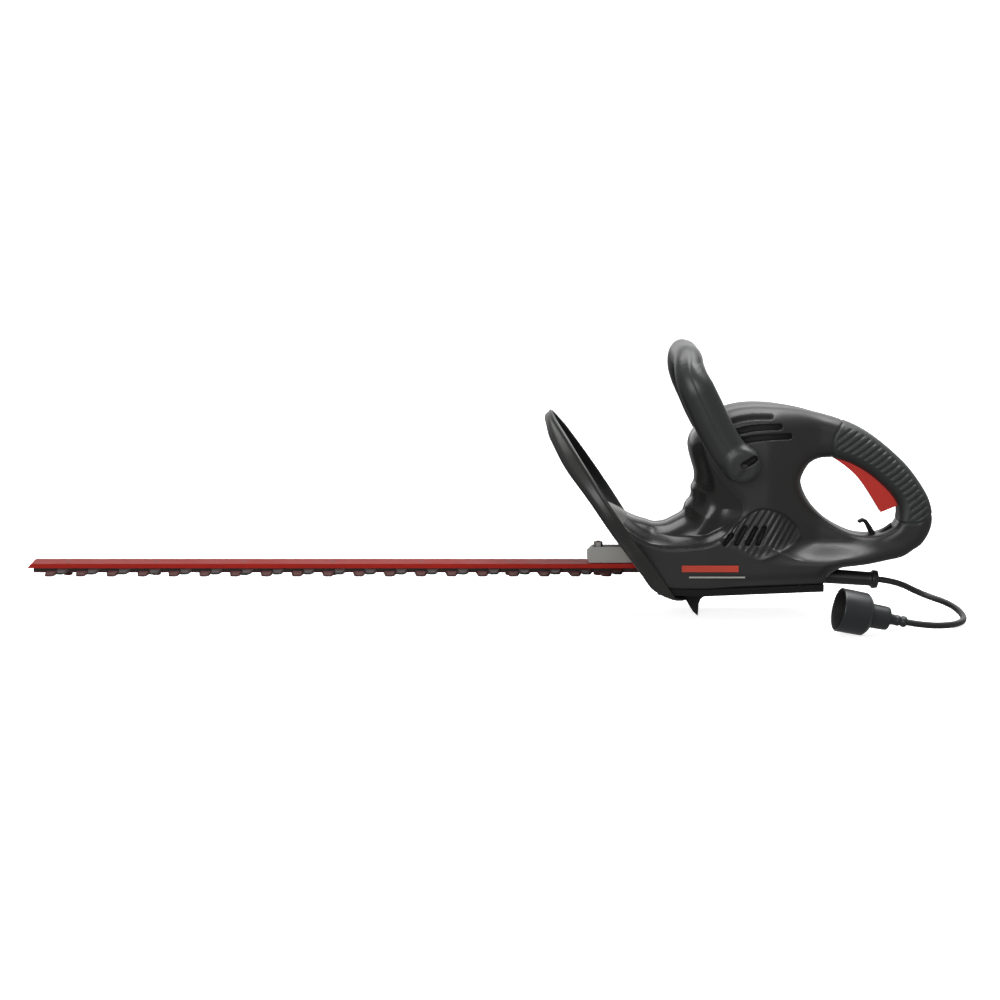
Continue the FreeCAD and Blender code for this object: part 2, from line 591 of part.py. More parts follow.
TRIGGER_SLOT = [(345, 157), (355, 155), (371, 150), (386, 141), (398, 131), (408, 121), (414, 112), (416, 103.5),
                (425, 103.5), (421.5, 116), (413.5, 129), (402.5, 140), (389.5, 150.5), (373, 160), (357, 166),
                (345, 167)]
SCREWS = [(165, 86), (326, 62), (226, 192), (300, 202)]
RING_SCREWS = [(340, 184), (434, 98)]
HOOK = [(379.9, 95.6), (384, 97.4), (388.2, 96), (393, 89.4), (398, 81.2), (412.6, 92.6), (413.4, 88),
        (398, 79), (391, 82), (386.6, 91.5), (383.8, 94.4), (380.8, 92.8), (379, 94)]
TOP_VENTS = [(244.3, 199.6, 285.8, 205), (250.9, 190.2, 294.8, 194.7), (257.9, 181.8, 304.8, 184.8)]
LOWER_VENTS = [(243.5, 80.6, 248.3, 87.4), (256.2, 81.8, 262.2, 93.2), (266.9, 81.8, 272.1, 93.2),
               (276.8, 81.8, 280.9, 93.2)]


def half(owner, name, edges, side, inner, outer, add=True):
    """Adds or removes material between two distances from the middle plane. side is -1 on the left, 1 on the right."""
    drawn = sketch(owner, name + "_profile", "XZ_Plane", edges, -side * inner)
    if add:
        return pad(owner, name, drawn, outer - inner, reverse=side > 0)
    return pocket(owner, name, drawn, outer - inner, reverse=side < 0)


def outer_edges(shape, distance):
    """Names of the edges that lie wholly at that distance from the middle plane."""
    names = []
    for i, edge in enumerate(shape.Edges, start=1):
        box_of = edge.BoundBox
        if abs(abs(box_of.YMin) - distance) < 0.01 and abs(abs(box_of.YMax) - distance) < 0.01:
            names.append(f"Edge{i}")
    return names


def grip_band(outside):
    """Outline of the strip round the ring: from the hard core under the grip to the given distance outside it."""
    inner = offset_curve(RING_TOP, dim.grip_skin, 24, closed=False)
    outer = offset_curve(RING_TOP, -outside, 24, closed=False) if outside else RING_TOP
    return [outer, [outer[-1], inner[-1]], inner[::-1], [inner[0], outer[0]]]


def housing_half(label, side):
    """Half of the clamshell: a hollow base and motor tower, and the hollow ring of the rear handle."""
    owner = body(label)
    gap, wide, ring_wide, wall = dim.seam_gap, dim.body_half_width, dim.ring_half_width, dim.wall
    block = half(owner, label + "_block", outline(BODY_RUNS), side, gap, wide)
    doc.recompute()
    rounded = owner.newObject("PartDesign::Fillet", label + "_rounding")
    rounded.Base = (block, outer_edges(block.Shape, wide))
    rounded.setExpression("Radius", "Dim.body_fillet")
    half(owner, label + "_ring", outline(RING_RUNS), side, gap, ring_wide)
    boss = [circle(dim.bail_pivot_x, dim.bail_pivot_z, 12)]
    half(owner, label + "_boss", boss, side, wide - 1, dim.bail_inner)
    half(owner, label + "_cavity", outline(inset(BODY_RUNS, wall)), side, gap, wide - wall, add=False)
    around = [curve(offset_curve(LOOP, dim.ring_wall, 40), closed=True)]
    half(owner, label + "_ring_cavity", outline(inset(RING_RUNS, dim.ring_wall)) + around, side, gap,
         ring_wide - dim.ring_wall, add=False)
    half(owner, label + "_loop", [curve(LOOP, closed=True)], side, gap, ring_wide + 3, add=False)
    half(owner, label + "_grip_seat", outline(grip_band(4)), side, gap, ring_wide + 3, add=False)
    half(owner, label + "_trigger_slot", chain(TRIGGER_SLOT), side, gap, dim.trigger_slot, add=False)
    base = [(NOSE_BOTTOM[0] + 6, 32), (338, 36), (338, 48), (NOSE_BOTTOM[0] - 2, 48)]
    half(owner, label + "_underside", chain(base), side, gap, wide - wall, add=False)
    mouth = [(110, 36), (182, 36), (182, 72), (110, 72)]
    half(owner, label + "_mouth", chain(mouth), side, gap, dim.mouth_half_width, add=False)
    vents = []
    for x0, z0, x1, z1 in TOP_VENTS:
        vents += slot(x0, z0, x1, z1, dim.vent_height / 2)
    for x0, z0, x1, z1 in LOWER_VENTS:
        vents += slot(x0, z0, x1, z1, 2.2)
    half(owner, label + "_vents", vents, side, wide - wall - 1, wide + 1, add=False)
    back = sketch(owner, label + "_relief_profile", "YZ_Plane", [circle(0, dim.relief_z, dim.relief_radius + 1)], 330)
    pocket(owner, label + "_relief_hole", back, 24, reverse=True)
    half(owner, label + "_hook_seat", chain(HOOK), side, gap, dim.hook_half_width, add=False)
    if side > 0:
        heads = [circle(x, z, dim.screw_head_radius) for x, z in SCREWS]
        half(owner, label + "_screw_holes", heads, side, wide - wall - 1, wide + 1, add=False)
        heads = [circle(x, z, dim.screw_head_radius) for x, z in RING_SCREWS]
        half(owner, label + "_ring_screw_holes", heads, side, ring_wide - dim.ring_wall - 1, dim.grip_half_width + 1,
             add=False)
    final(owner, label)


def rear_grip(label, side):
    """Soft skin over half of the ring: a strip round its outside and a plate on its side."""
    owner = body(label)
    half(owner, label + "_strip", outline(grip_band(0)), side, dim.seam_gap, dim.grip_half_width)
    edge = [(418.7, 104.5), (417.9, 115), (410.5, 125.5), (400, 136.2), (388, 145.6), (372, 155), (357, 159.6)]
    plate = [RING_TOP, [RING_TOP[-1], edge[-1]], edge[::-1], [edge[0], RING_TOP[0]]]
    half(owner, label + "_plate", outline(plate), side, dim.ring_half_width, dim.grip_half_width)
    if side > 0:
        hole = [circle(*RING_SCREWS[1], dim.screw_head_radius)]
        half(owner, label + "_hole", hole, side, dim.ring_half_width - 1, dim.grip_half_width + 1, add=False)
    final(owner, label)


def screw(name, x, y, z, length, head_radius, radius, axis):
    """A plain screw. Its head ends at the point, and its shank runs from there along the axis."""
    turn = Rotation(Vector(0, 0, 1), axis)
    head = cylinder(name + "_head", head_radius, 2.4, x, y, z, turn)
    shank = cylinder(name + "_shank", radius, length, x, y, z, turn)
    return fuse(name, head, shank)


def housing_screws():
    """Screws from the right-hand side, with their heads let into the wall."""
    inside = Vector(0, -1, 0)
    made = []
    for i, (x, z) in enumerate(SCREWS):
        reach = 2 * dim.body_half_width - dim.wall - 0.7
        made.append(screw(f"housing_screw_{i}", x, dim.body_half_width - 0.7, z, reach, dim.screw_head_radius - 0.1,
                          dim.screw_radius, inside))
    for i, (x, z) in enumerate(RING_SCREWS, start=len(SCREWS)):
        reach = 2 * dim.ring_half_width - dim.ring_wall - 0.5
        made.append(screw(f"housing_screw_{i}", x, dim.ring_half_width - 0.5, z, reach, dim.screw_head_radius - 0.1,
                          dim.screw_radius, inside))
    final(group("housing_screws", *made), "housing_screws")


def bottom_cover():
    """Plate under the base, with the foot that the tool stands on."""
    owner = body("bottom_cover")
    front = guard_point(207.5, dim.guard_wall - dim.guard_depth)
    side = [front, (221, 26.3), (341, 31.2), (341, 38.15), (221, 33.25), (NOSE_BOTTOM[0], NOSE_BOTTOM[1] - 0.05)]
    profile = sketch(owner, "cover_side", "XZ_Plane", chain(side), "-Dim.cover_half_width")
    pad(owner, "cover_plate", profile, "2 * Dim.cover_half_width")
    floor = [(front[0] + 8, 30.5), (221, 29.3), (330, 33.8), (330, 40), (front[0] + 4, 40)]
    hollow = sketch(owner, "cover_hollow_side", "XZ_Plane", chain(floor), "-(Dim.cover_half_width - Dim.wall)")
    pocket(owner, "cover_hollow", hollow, "2 * (Dim.cover_half_width - Dim.wall)", reverse=True)
    foot = [(240, 27.1), (229, 23.5), (222, 17), (220.2, 12), (219.5, 0), (214.6, 4.4), (210.9, 10.1), (205, 20),
            (198, 27.6)]
    shape = sketch(owner, "foot_side", "XZ_Plane", chain(foot), "-Dim.foot_half_width")
    pad(owner, "foot", shape, "2 * Dim.foot_half_width")
    back = sketch(owner, "cover_relief_profile", "YZ_Plane", [circle(0, dim.relief_z, dim.relief_radius + 1)], 325)
    pocket(owner, "cover_relief_hole", back, 24, reverse=True)
    final(owner, "bottom_cover")
    made = []
    for i, (x, y, z) in enumerate(((196, -34, 28), (196, 34, 28), (318, -34, 30.5), (318, 34, 30.5))):
        made.append(screw(f"cover_screw_{i}", x, y, z, 7.5, 3.4, 1.7, Vector(0, 0, 1)))
    final(group("bottom_cover_screws", *made), "bottom_cover_screws")


# ---------------------------------------------------------------- hand guard and front handle

def leaning(owner, x, z, angle):
    """Places a body so that its own X axis runs down the slope and its own Z axis faces the rear."""
    owner.Placement = Placement(Vector(x, 0, z), Rotation(Vector(0, 1, 0), angle))


def hand_guard():
    """Dish in front of the hands, open to the rear, with a way through for the bar and its bracket."""
    owner = body("hand_guard")
    side = [(214, 52), (200, 64), (180, 78), (150, 88), (110, 90), (88, 88.5), (65, 78), (45, 65), (30, 53), (14, 31),
            (4, 14), (0, 0)]
    arch = side + [(x, -y) for x, y in reversed(side[:-1])]
    runs = [[(214, -52), (214, 52)], arch]
    face = sketch(owner, "guard_face", "XY_Plane", outline(runs), "-Dim.guard_depth")
    pad(owner, "guard_block", face, "Dim.guard_depth")
    inner = sketch(owner, "guard_inner", "XY_Plane", outline(inset(runs, dim.guard_wall)),
                   "Dim.guard_wall - Dim.guard_depth")
    pocket(owner, "guard_dish", inner, "Dim.guard_depth", reverse=True)
    lower = sketch(owner, "guard_lower", "XY_Plane", chain([(190, -43.5), (220, -43.5), (220, 43.5), (190, 43.5)]),
                   "Dim.guard_wall - Dim.guard_depth")
    pocket(owner, "guard_lower_cut", lower, "Dim.guard_depth", reverse=True)
    way = sketch(owner, "guard_way", "XY_Plane", chain([(151, -18), (199, -18), (199, 18), (151, 18)]),
                 "-Dim.guard_depth")
    pocket(owner, "guard_way_cut", way, "Dim.guard_wall", reverse=True)
    leaning(owner, dim.guard_top_x, dim.guard_top_z, 90 - dim.guard_lean)
    final(owner, "hand_guard")
    into = Vector(math.cos(math.radians(dim.guard_lean)), 0, math.sin(math.radians(dim.guard_lean)))
    made = []
    for i, (down, y) in enumerate(((125, -28), (125, 28), (188, -30), (188, 30))):
        x, z = guard_point(down, 0.4 - dim.guard_depth)
        made.append(screw(f"guard_screw_{i}", x, y, z, 4.4, 3.6, 1.8, into))
    final(group("guard_screws", *made), "guard_screws")


def front_handle():
    """Bail over the motor: two hollow shells, one in front of the other, screwed to bosses on the housing."""
    reach, outer, inner, end = dim.bail_reach, dim.bail_outer, dim.bail_inner, dim.bail_end
    thick, corner = outer - inner, dim.bail_corner

    def arch(grow):
        """Outline of the arch, each edge moved inwards by grow."""
        r_out, r_in = corner - grow, corner - thick + grow
        a, b, low, high, deep = outer - grow, inner + grow, -end + grow, reach - grow, reach - thick + grow
        s = math.sqrt(0.5)
        cx, cy = reach - corner, outer - corner
        points = [
            Part.LineSegment(Vector(low, -a, 0), Vector(cx, -a, 0)),
            Part.Arc(Vector(cx, -a, 0), Vector(cx + r_out * s, -cy - r_out * s, 0), Vector(high, -cy, 0)),
            Part.LineSegment(Vector(high, -cy, 0), Vector(high, cy, 0)),
            Part.Arc(Vector(high, cy, 0), Vector(cx + r_out * s, cy + r_out * s, 0), Vector(cx, a, 0)),
            Part.LineSegment(Vector(cx, a, 0), Vector(low, a, 0)),
            Part.LineSegment(Vector(low, a, 0), Vector(low, b, 0)),
            Part.LineSegment(Vector(low, b, 0), Vector(cx, b, 0)),
            Part.Arc(Vector(cx, b, 0), Vector(cx + r_in * s, cy + r_in * s, 0), Vector(deep, cy, 0)),
            Part.LineSegment(Vector(deep, cy, 0), Vector(deep, -cy, 0)),
            Part.Arc(Vector(deep, -cy, 0), Vector(cx + r_in * s, -cy - r_in * s, 0), Vector(cx, -b, 0)),
            Part.LineSegment(Vector(cx, -b, 0), Vector(low, -b, 0)),
            Part.LineSegment(Vector(low, -b, 0), Vector(low, -a, 0)),
        ]
        return points

    for label, sign in (("front_handle_front", 1), ("front_handle_rear", -1)):
        owner = body(label)
        face = sketch(owner, label + "_face", "XY_Plane", arch(0), sign * dim.seam_gap)
        shell = pad(owner, label + "_block", face, "Dim.bail_depth - Dim.seam_gap", reverse=sign < 0)
        doc.recompute()
        rounding = owner.newObject("PartDesign::Fillet", label + "_rounding")
        flat = [f"Edge{i}" for i, e in enumerate(shell.Shape.Edges, start=1)
                if abs(abs(e.BoundBox.ZMin) - dim.bail_depth) < 0.01 and abs(abs(e.BoundBox.ZMax) - dim.bail_depth) < 0.01]
        rounding.Base = (shell, flat)
        rounding.Radius = 7
        inside = sketch(owner, label + "_inside", "XY_Plane", arch(dim.bail_wall), sign * dim.seam_gap)
        pocket(owner, label + "_hollow", inside, "Dim.bail_depth - Dim.bail_wall - Dim.seam_gap", reverse=sign > 0)
        leaning(owner, dim.bail_pivot_x, dim.bail_pivot_z, -90 - dim.bail_lean)
        final(owner, label)
    made = []
    for i, side in enumerate((-1, 1)):
        made.append(screw(f"handle_screw_{i}", dim.bail_pivot_x, side * (outer - 3.2), dim.bail_pivot_z, 26, 5, 2.5,
                          Vector(0, -side, 0)))
    final(group("front_handle_screws", *made), "front_handle_screws")


# ---------------------------------------------------------------- trigger and switch

def along_y(name, radius, length, x, z, start):
    return cylinder(name, radius, length, x, start, z, Rotation(Vector(1, 0, 0), -90))


def trigger():
    """Long curved trigger on a pin at its upper end, with its return spring, and the switch it works."""
    owner = body("trigger")
    front = [(355.9, 157.5), (368.1, 148.4), (378.4, 138.3), (386.7, 127.2), (394, 116), (400.8, 104.8)]
    back = [(417.4, 111.9), (412, 124.5), (401, 136), (388.5, 146.2), (373, 155.5), (362, 161.5)]
    runs = [[(347.5, 163), (355.9, 157.5)], front, [front[-1], back[0]], back, [back[-1], (358, 169)],
            [(358, 169), (351, 171)], [(351, 171), (347.5, 163)]]
    side = sketch(owner, "trigger_side", "XZ_Plane", outline(runs), "-Dim.trigger_half_width")
    pad(owner, "trigger_block", side, "2 * Dim.trigger_half_width")
    bore = [circle(dim.trigger_pivot_x, dim.trigger_pivot_z, dim.trigger_pin_radius + 0.05)]
    hole = sketch(owner, "trigger_bore", "XZ_Plane", bore, "-Dim.trigger_half_width")
    pocket(owner, "trigger_bore_cut", hole, "2 * Dim.trigger_half_width", reverse=True)
    final(owner, "trigger")
    span = dim.ring_half_width - dim.ring_wall
    final(along_y("trigger_pin", "Dim.trigger_pin_radius", 2 * span, "Dim.trigger_pivot_x", "Dim.trigger_pivot_z",
                  -span), "trigger_pin")
    coil = along_y("spring_outer", 2.9, 4.2, "Dim.trigger_pivot_x", "Dim.trigger_pivot_z", 9)
    bore = along_y("spring_inner", "Dim.trigger_pin_radius", 4.2, "Dim.trigger_pivot_x", "Dim.trigger_pivot_z", 9)
    final(cut("trigger_spring", coil, bore), "trigger_spring")
    case = box("switch_case", 24, 16, 14, 362, -8, 166)
    guide = cylinder("switch_guide", "Dim.plunger_radius + 0.05", 12, "Dim.plunger_x", 0, 166)
    final(cut("switch_body", case, guide), "switch_body")
    final(cylinder("switch_plunger", "Dim.plunger_radius", 15, "Dim.plunger_x", 0, "Dim.plunger_bottom_z"),
          "switch_plunger")


def cord_hook():
    """Hook inside the loop that holds the extension cord: a thin arm with a bead, and a ramp beside it."""
    owner = body("cord_hook")
    side = sketch(owner, "hook_side", "XZ_Plane", chain(HOOK), "-Dim.hook_half_width")
    pad(owner, "hook_block", side, "2 * Dim.hook_half_width")
    final(owner, "cord_hook")


# ---------------------------------------------------------------- cord and plug

def cord_relief():
    """Tapered sleeve where the cord leaves the base, with a flange at its free end and one inside the wall."""
    down = math.radians(dim.relief_drop)
    axis = Vector(math.cos(down), 0, -math.sin(down))
    turn = Rotation(Vector(0, 0, 1), axis)
    start = Vector(dim.relief_x, 0, dim.relief_z)

    def at(distance):
        return start + axis * distance

    pieces = []
    for name, low, high, r_low, r_high in (("inner_flange", -8, -3.5, 7.7, 7.7), ("sleeve", -3.5, 56, 7, 6.5),
                                           ("outer_flange", 56, 62, 9.3, 8.9)):
        cone = make("Part::Cone", "relief_" + name, Radius1=r_low, Radius2=r_high, Height=high - low)
        if r_low == r_high:
            cone = make("Part::Cylinder", "relief_" + name + "_disc", Radius=r_low, Height=high - low)
        pieces.append(place(cone, *at(low), turn))
    bore = place(make("Part::Cylinder", "relief_bore", Radius="Dim.cord_diameter / 2", Height=80), *at(-12), turn)
    final(cut("strain_relief", fuse("relief_solid", *pieces), bore), "strain_relief")
    return at(62), axis


def tube(points, diameter):
    """A round tube: straight runs between the points, joined by arcs that touch them."""
    turns = [points[0]]
    edges, radii = [], []
    for before, corner, after in zip(points, points[1:], points[2:]):
        a, b = corner - before, after - corner
        half_turn = a.getAngle(b) / 2
        back = 0.45 * min(a.Length, b.Length)
        radius = back / math.tan(half_turn)
        first, last = corner - a.normalize() * back, corner + b.normalize() * back
        inward = (b - a).normalize()
        middle = corner + inward * (radius / math.cos(half_turn) - radius)
        edges.append(Part.LineSegment(turns[-1], first).toShape())
        edges.append(Part.Arc(first, middle, last).toShape())
        turns.append(last)
        radii.append(round(radius, 1))
    edges.append(Part.LineSegment(turns[-1], points[-1]).toShape())
    path = Part.Wire(edges)
    start = points[1] - points[0]
    section = Part.Wire(Part.Circle(points[0], start, diameter / 2).toShape())
    solid = path.makePipeShell([section], True, False)
    ratio = solid.Volume / (math.pi * diameter**2 / 4 * path.Length)
    print("cord arc radii", radii, "length", round(path.Length, 2), "volume over section times length", round(ratio, 5))
    return solid


def cord_and_plug(leave, axis):
    """The cord, laid in one bend on the floor, and the shrouded plug on its end."""
    end = Vector(413.5, -92, 12.3)
    points = [leave, leave + axis * 18.2, Vector(447, 6.5, 18.3), Vector(475, -8.6, 11.3), Vector(483.5, -39.3, 3.8),
              Vector(468, -68, 3.7), Vector(434.8, -89.4, 7.7), end]
    final(feature("cord", tube(points, dim.cord_diameter)), "cord")
    way = (end - points[-2]).normalize()
    turn = Rotation(Vector(0, 0, 1), way)

    def piece(kind, name, start, **sizes):
        return place(make(kind, name, **sizes), *(end + way * start), turn)

    neck, length = dim.plug_neck_length, dim.plug_body_length
    parts = [piece("Part::Cylinder", "plug_neck", 0, Radius="Dim.plug_neck_radius", Height=neck),
             piece("Part::Cone", "plug_shoulder", neck, Radius1=10, Radius2="Dim.plug_body_radius", Height=2),
             piece("Part::Cylinder", "plug_barrel", neck + 2, Radius="Dim.plug_body_radius", Height=length - 2)]
    final(fuse("plug_body", *parts), "plug_body")
    back = neck + length
    outer = [piece("Part::Cone", "shroud_back", back, Radius1=16.5, Radius2="Dim.shroud_radius", Height=4.6),
             piece("Part::Cylinder", "shroud_side", back + 4.6, Radius="Dim.shroud_radius",
                   Height="Dim.shroud_length - 4.6")]
    hollow = piece("Part::Cylinder", "shroud_hollow", back + 5.6, Radius="Dim.shroud_radius - Dim.shroud_wall",
                   Height="Dim.shroud_length")
    final(cut("plug_shroud", fuse("shroud_solid", *outer), hollow), "plug_shroud")
    prongs = []
    for i, y in enumerate((-6.35, 6.35)):
        prong = make("Part::Box", f"prong_{i}", Length=6.3, Width=1.5, Height=14)
        offset = turn.multVec(Vector(-3.15, y - 0.75, 0))
        prongs.append(place(prong, *(end + way * (back + 5.6) + offset), turn))
    final(group("plug_prongs", *prongs), "plug_prongs")


def motor_mounts():
    """Rings that hold the motor in the tower, and the plate that holds the upper bearing."""
    rings = [ring(f"mount_{i}", "Dim.mount_radius", "Dim.stator_radius", 4, "Dim.motor_x", z)
             for i, z in enumerate(("Dim.stator_bottom_z + 2", "Dim.stator_bottom_z + Dim.stator_height - 6"))]
    final(group("motor_mounts", *rings), "motor_mounts")
    final(ring("bearing_plate", 30, "Dim.bearing_radius", 4, "Dim.motor_x", "Dim.upper_bearing_z + 1.5"),
          "bearing_plate")


def gear_case_screws():
    made = []
    for i, (x, y) in enumerate(((212, -33.4), (212, 33.4), (264, -33.4), (264, 33.4))):
        made.append(screw(f"case_screw_{i}", x, y, dim.case_top_z + dim.lid_thickness + 2.4, 14, 2.8, 1.3,
                          Vector(0, 0, -1)))
    final(group("gear_case_screws", *made), "gear_case_screws")


support_bar()
blade("upper_blade", UPPER_Z, dim.upper_tooth_x, dim.rest_shift)
blade("lower_blade", LOWER_Z, dim.lower_tooth_x, -dim.rest_shift)
blade_fasteners()
blade_bracket()
drive_gear()
pinion_shaft()
crank()
bearings()
motor()
motor_mounts()
cooling_fan()
gear_case()
gear_case_screws()
for side, word in ((-1, "left"), (1, "right")):
    housing_half("housing_" + word, side)
    rear_grip("rear_grip_" + word, side)
housing_screws()
bottom_cover()
hand_guard()
front_handle()
trigger()
cord_hook()
cord_and_plug(*cord_relief())
doc.recompute()

for item in doc.Objects:
    if "Invalid" in item.State or "Error" in item.State:
        raise RuntimeError(f"{item.Label}: {item.State}")
os.makedirs("parts", exist_ok=True)
for item in FINAL:
    if item.Shape.isNull() or not item.Shape.isValid() or item.Shape.Volume <= 0:
        raise RuntimeError(f"{item.Label} has no valid shape")
    item.Shape.exportStep(f"parts/{item.Label}.step")
print(len(FINAL), "parts")
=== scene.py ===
"""Looks of the hedge trimmer. Lengths are in millimetres until a mesh is made."""

import math

import bpy
import numpy as np
import openvdb
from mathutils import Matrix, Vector


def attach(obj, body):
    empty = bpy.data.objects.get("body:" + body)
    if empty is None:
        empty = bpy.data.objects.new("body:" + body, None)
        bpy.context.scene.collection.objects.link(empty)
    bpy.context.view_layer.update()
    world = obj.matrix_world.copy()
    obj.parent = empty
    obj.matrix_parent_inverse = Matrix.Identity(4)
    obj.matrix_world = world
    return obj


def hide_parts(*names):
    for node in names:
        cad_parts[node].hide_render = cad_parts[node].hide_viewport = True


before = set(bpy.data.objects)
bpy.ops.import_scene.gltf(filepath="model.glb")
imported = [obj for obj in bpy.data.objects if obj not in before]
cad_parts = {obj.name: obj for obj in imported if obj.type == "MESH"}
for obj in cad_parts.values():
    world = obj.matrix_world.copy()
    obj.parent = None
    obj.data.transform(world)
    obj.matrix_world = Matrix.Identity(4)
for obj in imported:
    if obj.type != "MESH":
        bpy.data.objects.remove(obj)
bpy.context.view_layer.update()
MM = 0.001
VOXEL = 0.8


# ---------------------------------------------------------------- fields

def smoothstep(a, b, x):
    """0 at a, 1 at b, smooth between. b may be the smaller."""
    t = np.clip((x - a) / (b - a), 0, 1)
    return t * t * (3 - 2 * t)


def smooth_min(a, b, k):
    h = np.clip(0.5 + 0.5 * (b - a) / k, 0, 1)
    return b + (a - b) * h - k * h * (1 - h)


def smooth_max(a, b, k):
    return -smooth_min(-a, -b, k)


def rounded(points, closed=True, steps=6):
    """Points of a smooth curve through the given ones."""
    p = np.array(points, float)
    count = len(p) if closed else len(p) - 1
    made = []
    for i in range(count):
        if closed:
            a, b, c, d = p[i - 1], p[i], p[(i + 1) % len(p)], p[(i + 2) % len(p)]
        else:
            a, b, c, d = p[max(i - 1, 0)], p[i], p[i + 1], p[min(i + 2, len(p) - 1)]
        for t in np.arange(steps) / steps:
            made.append(0.5 * (2 * b + (c - a) * t + (2 * a - 5 * b + 4 * c - d) * t**2
                               + (3 * b - a - 3 * c + d) * t**3))
    if not closed:
        made.append(p[-1])
    return [tuple(q) for q in made]


def path_distance(points, u, v, closed=False):
    """Distance to a path, how far along it the nearest point is, and the side: positive on the left."""
    best = np.full(u.shape, 1e9)
    along = np.zeros(u.shape)
    side = np.ones(u.shape)
    run = 0.0
    ends = list(zip(points, points[1:] + points[:1])) if closed else list(zip(points, points[1:]))
    for (x0, y0), (x1, y1) in ends:
        dx, dy = x1 - x0, y1 - y0
        length = math.hypot(dx, dy)
        if length < 1e-9:
            continue
        t = np.clip(((u - x0) * dx + (v - y0) * dy) / length**2, 0, 1)
        d = np.hypot(u - x0 - t * dx, v - y0 - t * dy)
        near = d < best
        best = np.where(near, d, best)
        along = np.where(near, run + t * length, along)
        side = np.where(near, np.sign(dx * (v - y0) - dy * (u - x0)), side)
        run += length
    return best, along, side


def region(points, u, v):
    """Signed distance to a closed outline, negative inside."""
    best, _, _ = path_distance(points, u, v, closed=True)
    inside = np.zeros(u.shape, bool)
    for (x0, y0), (x1, y1) in zip(points, points[1:] + points[:1]):
        if y0 != y1:
            crosses = (y0 > v) != (y1 > v)
            inside ^= crosses & (u < (x1 - x0) * (v - y0) / (y1 - y0) + x0)
    return np.where(inside, -best, best)


def slab(flat, across, half, r):
    """Field of a flat region made half thick each way, with its edges rounded by r."""
    a, b = flat + r, across - half + r
    return np.minimum(np.maximum(a, b), 0) + np.hypot(np.maximum(a, 0), np.maximum(b, 0)) - r


def axes(low, high, step=VOXEL):
    """Coordinates of a box's cells, as three arrays that broadcast to its shape."""
    x, y, z = (np.arange(a, b + step, step) for a, b in zip(low, high))
    return x[:, None, None], y[None, :, None], z[None, None, :]


def surface(name, field, low, place=None, step=VOXEL):
    """The mesh where the field is zero. Place moves the points, an array, into the row's frame."""
    grid = openvdb.FloatGrid(5.0)
    grid.copyFromArray(np.clip(field, -5, 5).astype(np.float32))
    points, triangles, quads = grid.convertToPolygons(isovalue=0.0, adaptivity=0.0)
    points = points * step + np.array(low)
    faces = [list(map(int, f)) for f in triangles] + [list(map(int, f)) for f in quads]
    first = points[quads]
    volume = np.einsum("ij,ij->i", first[:, 0], np.cross(first[:, 1], first[:, 2])).sum()
    if volume < 0:
        faces = [f[::-1] for f in faces]
    if place is not None:
        points = place(points)
    return mesh(name, points, faces)


def mesh(name, points, faces, smooth=True):
    data = bpy.data.meshes.new(name)
    data.from_pydata([tuple(p) for p in np.array(points) * MM], [], faces)
    data.update()
    made = bpy.data.objects.new(name, data)
    bpy.context.scene.collection.objects.link(made)
    data.polygons.foreach_set("use_smooth", [smooth] * len(data.polygons))
    return made


def centres(made):
    """Middle of each face, in millimetres."""
    flat = np.empty(len(made.data.polygons) * 3)
    made.data.polygons.foreach_get("center", flat)
    return flat.reshape(-1, 3) / MM


def paint(made, materials, index=None):
    """Gives the mesh its materials, and each face the number of its own."""
    for material in materials:
        made.data.materials.append(material)
    if index is not None:
        made.data.polygons.foreach_set("material_index", index.astype(np.int32))


# ---------------------------------------------------------------- materials

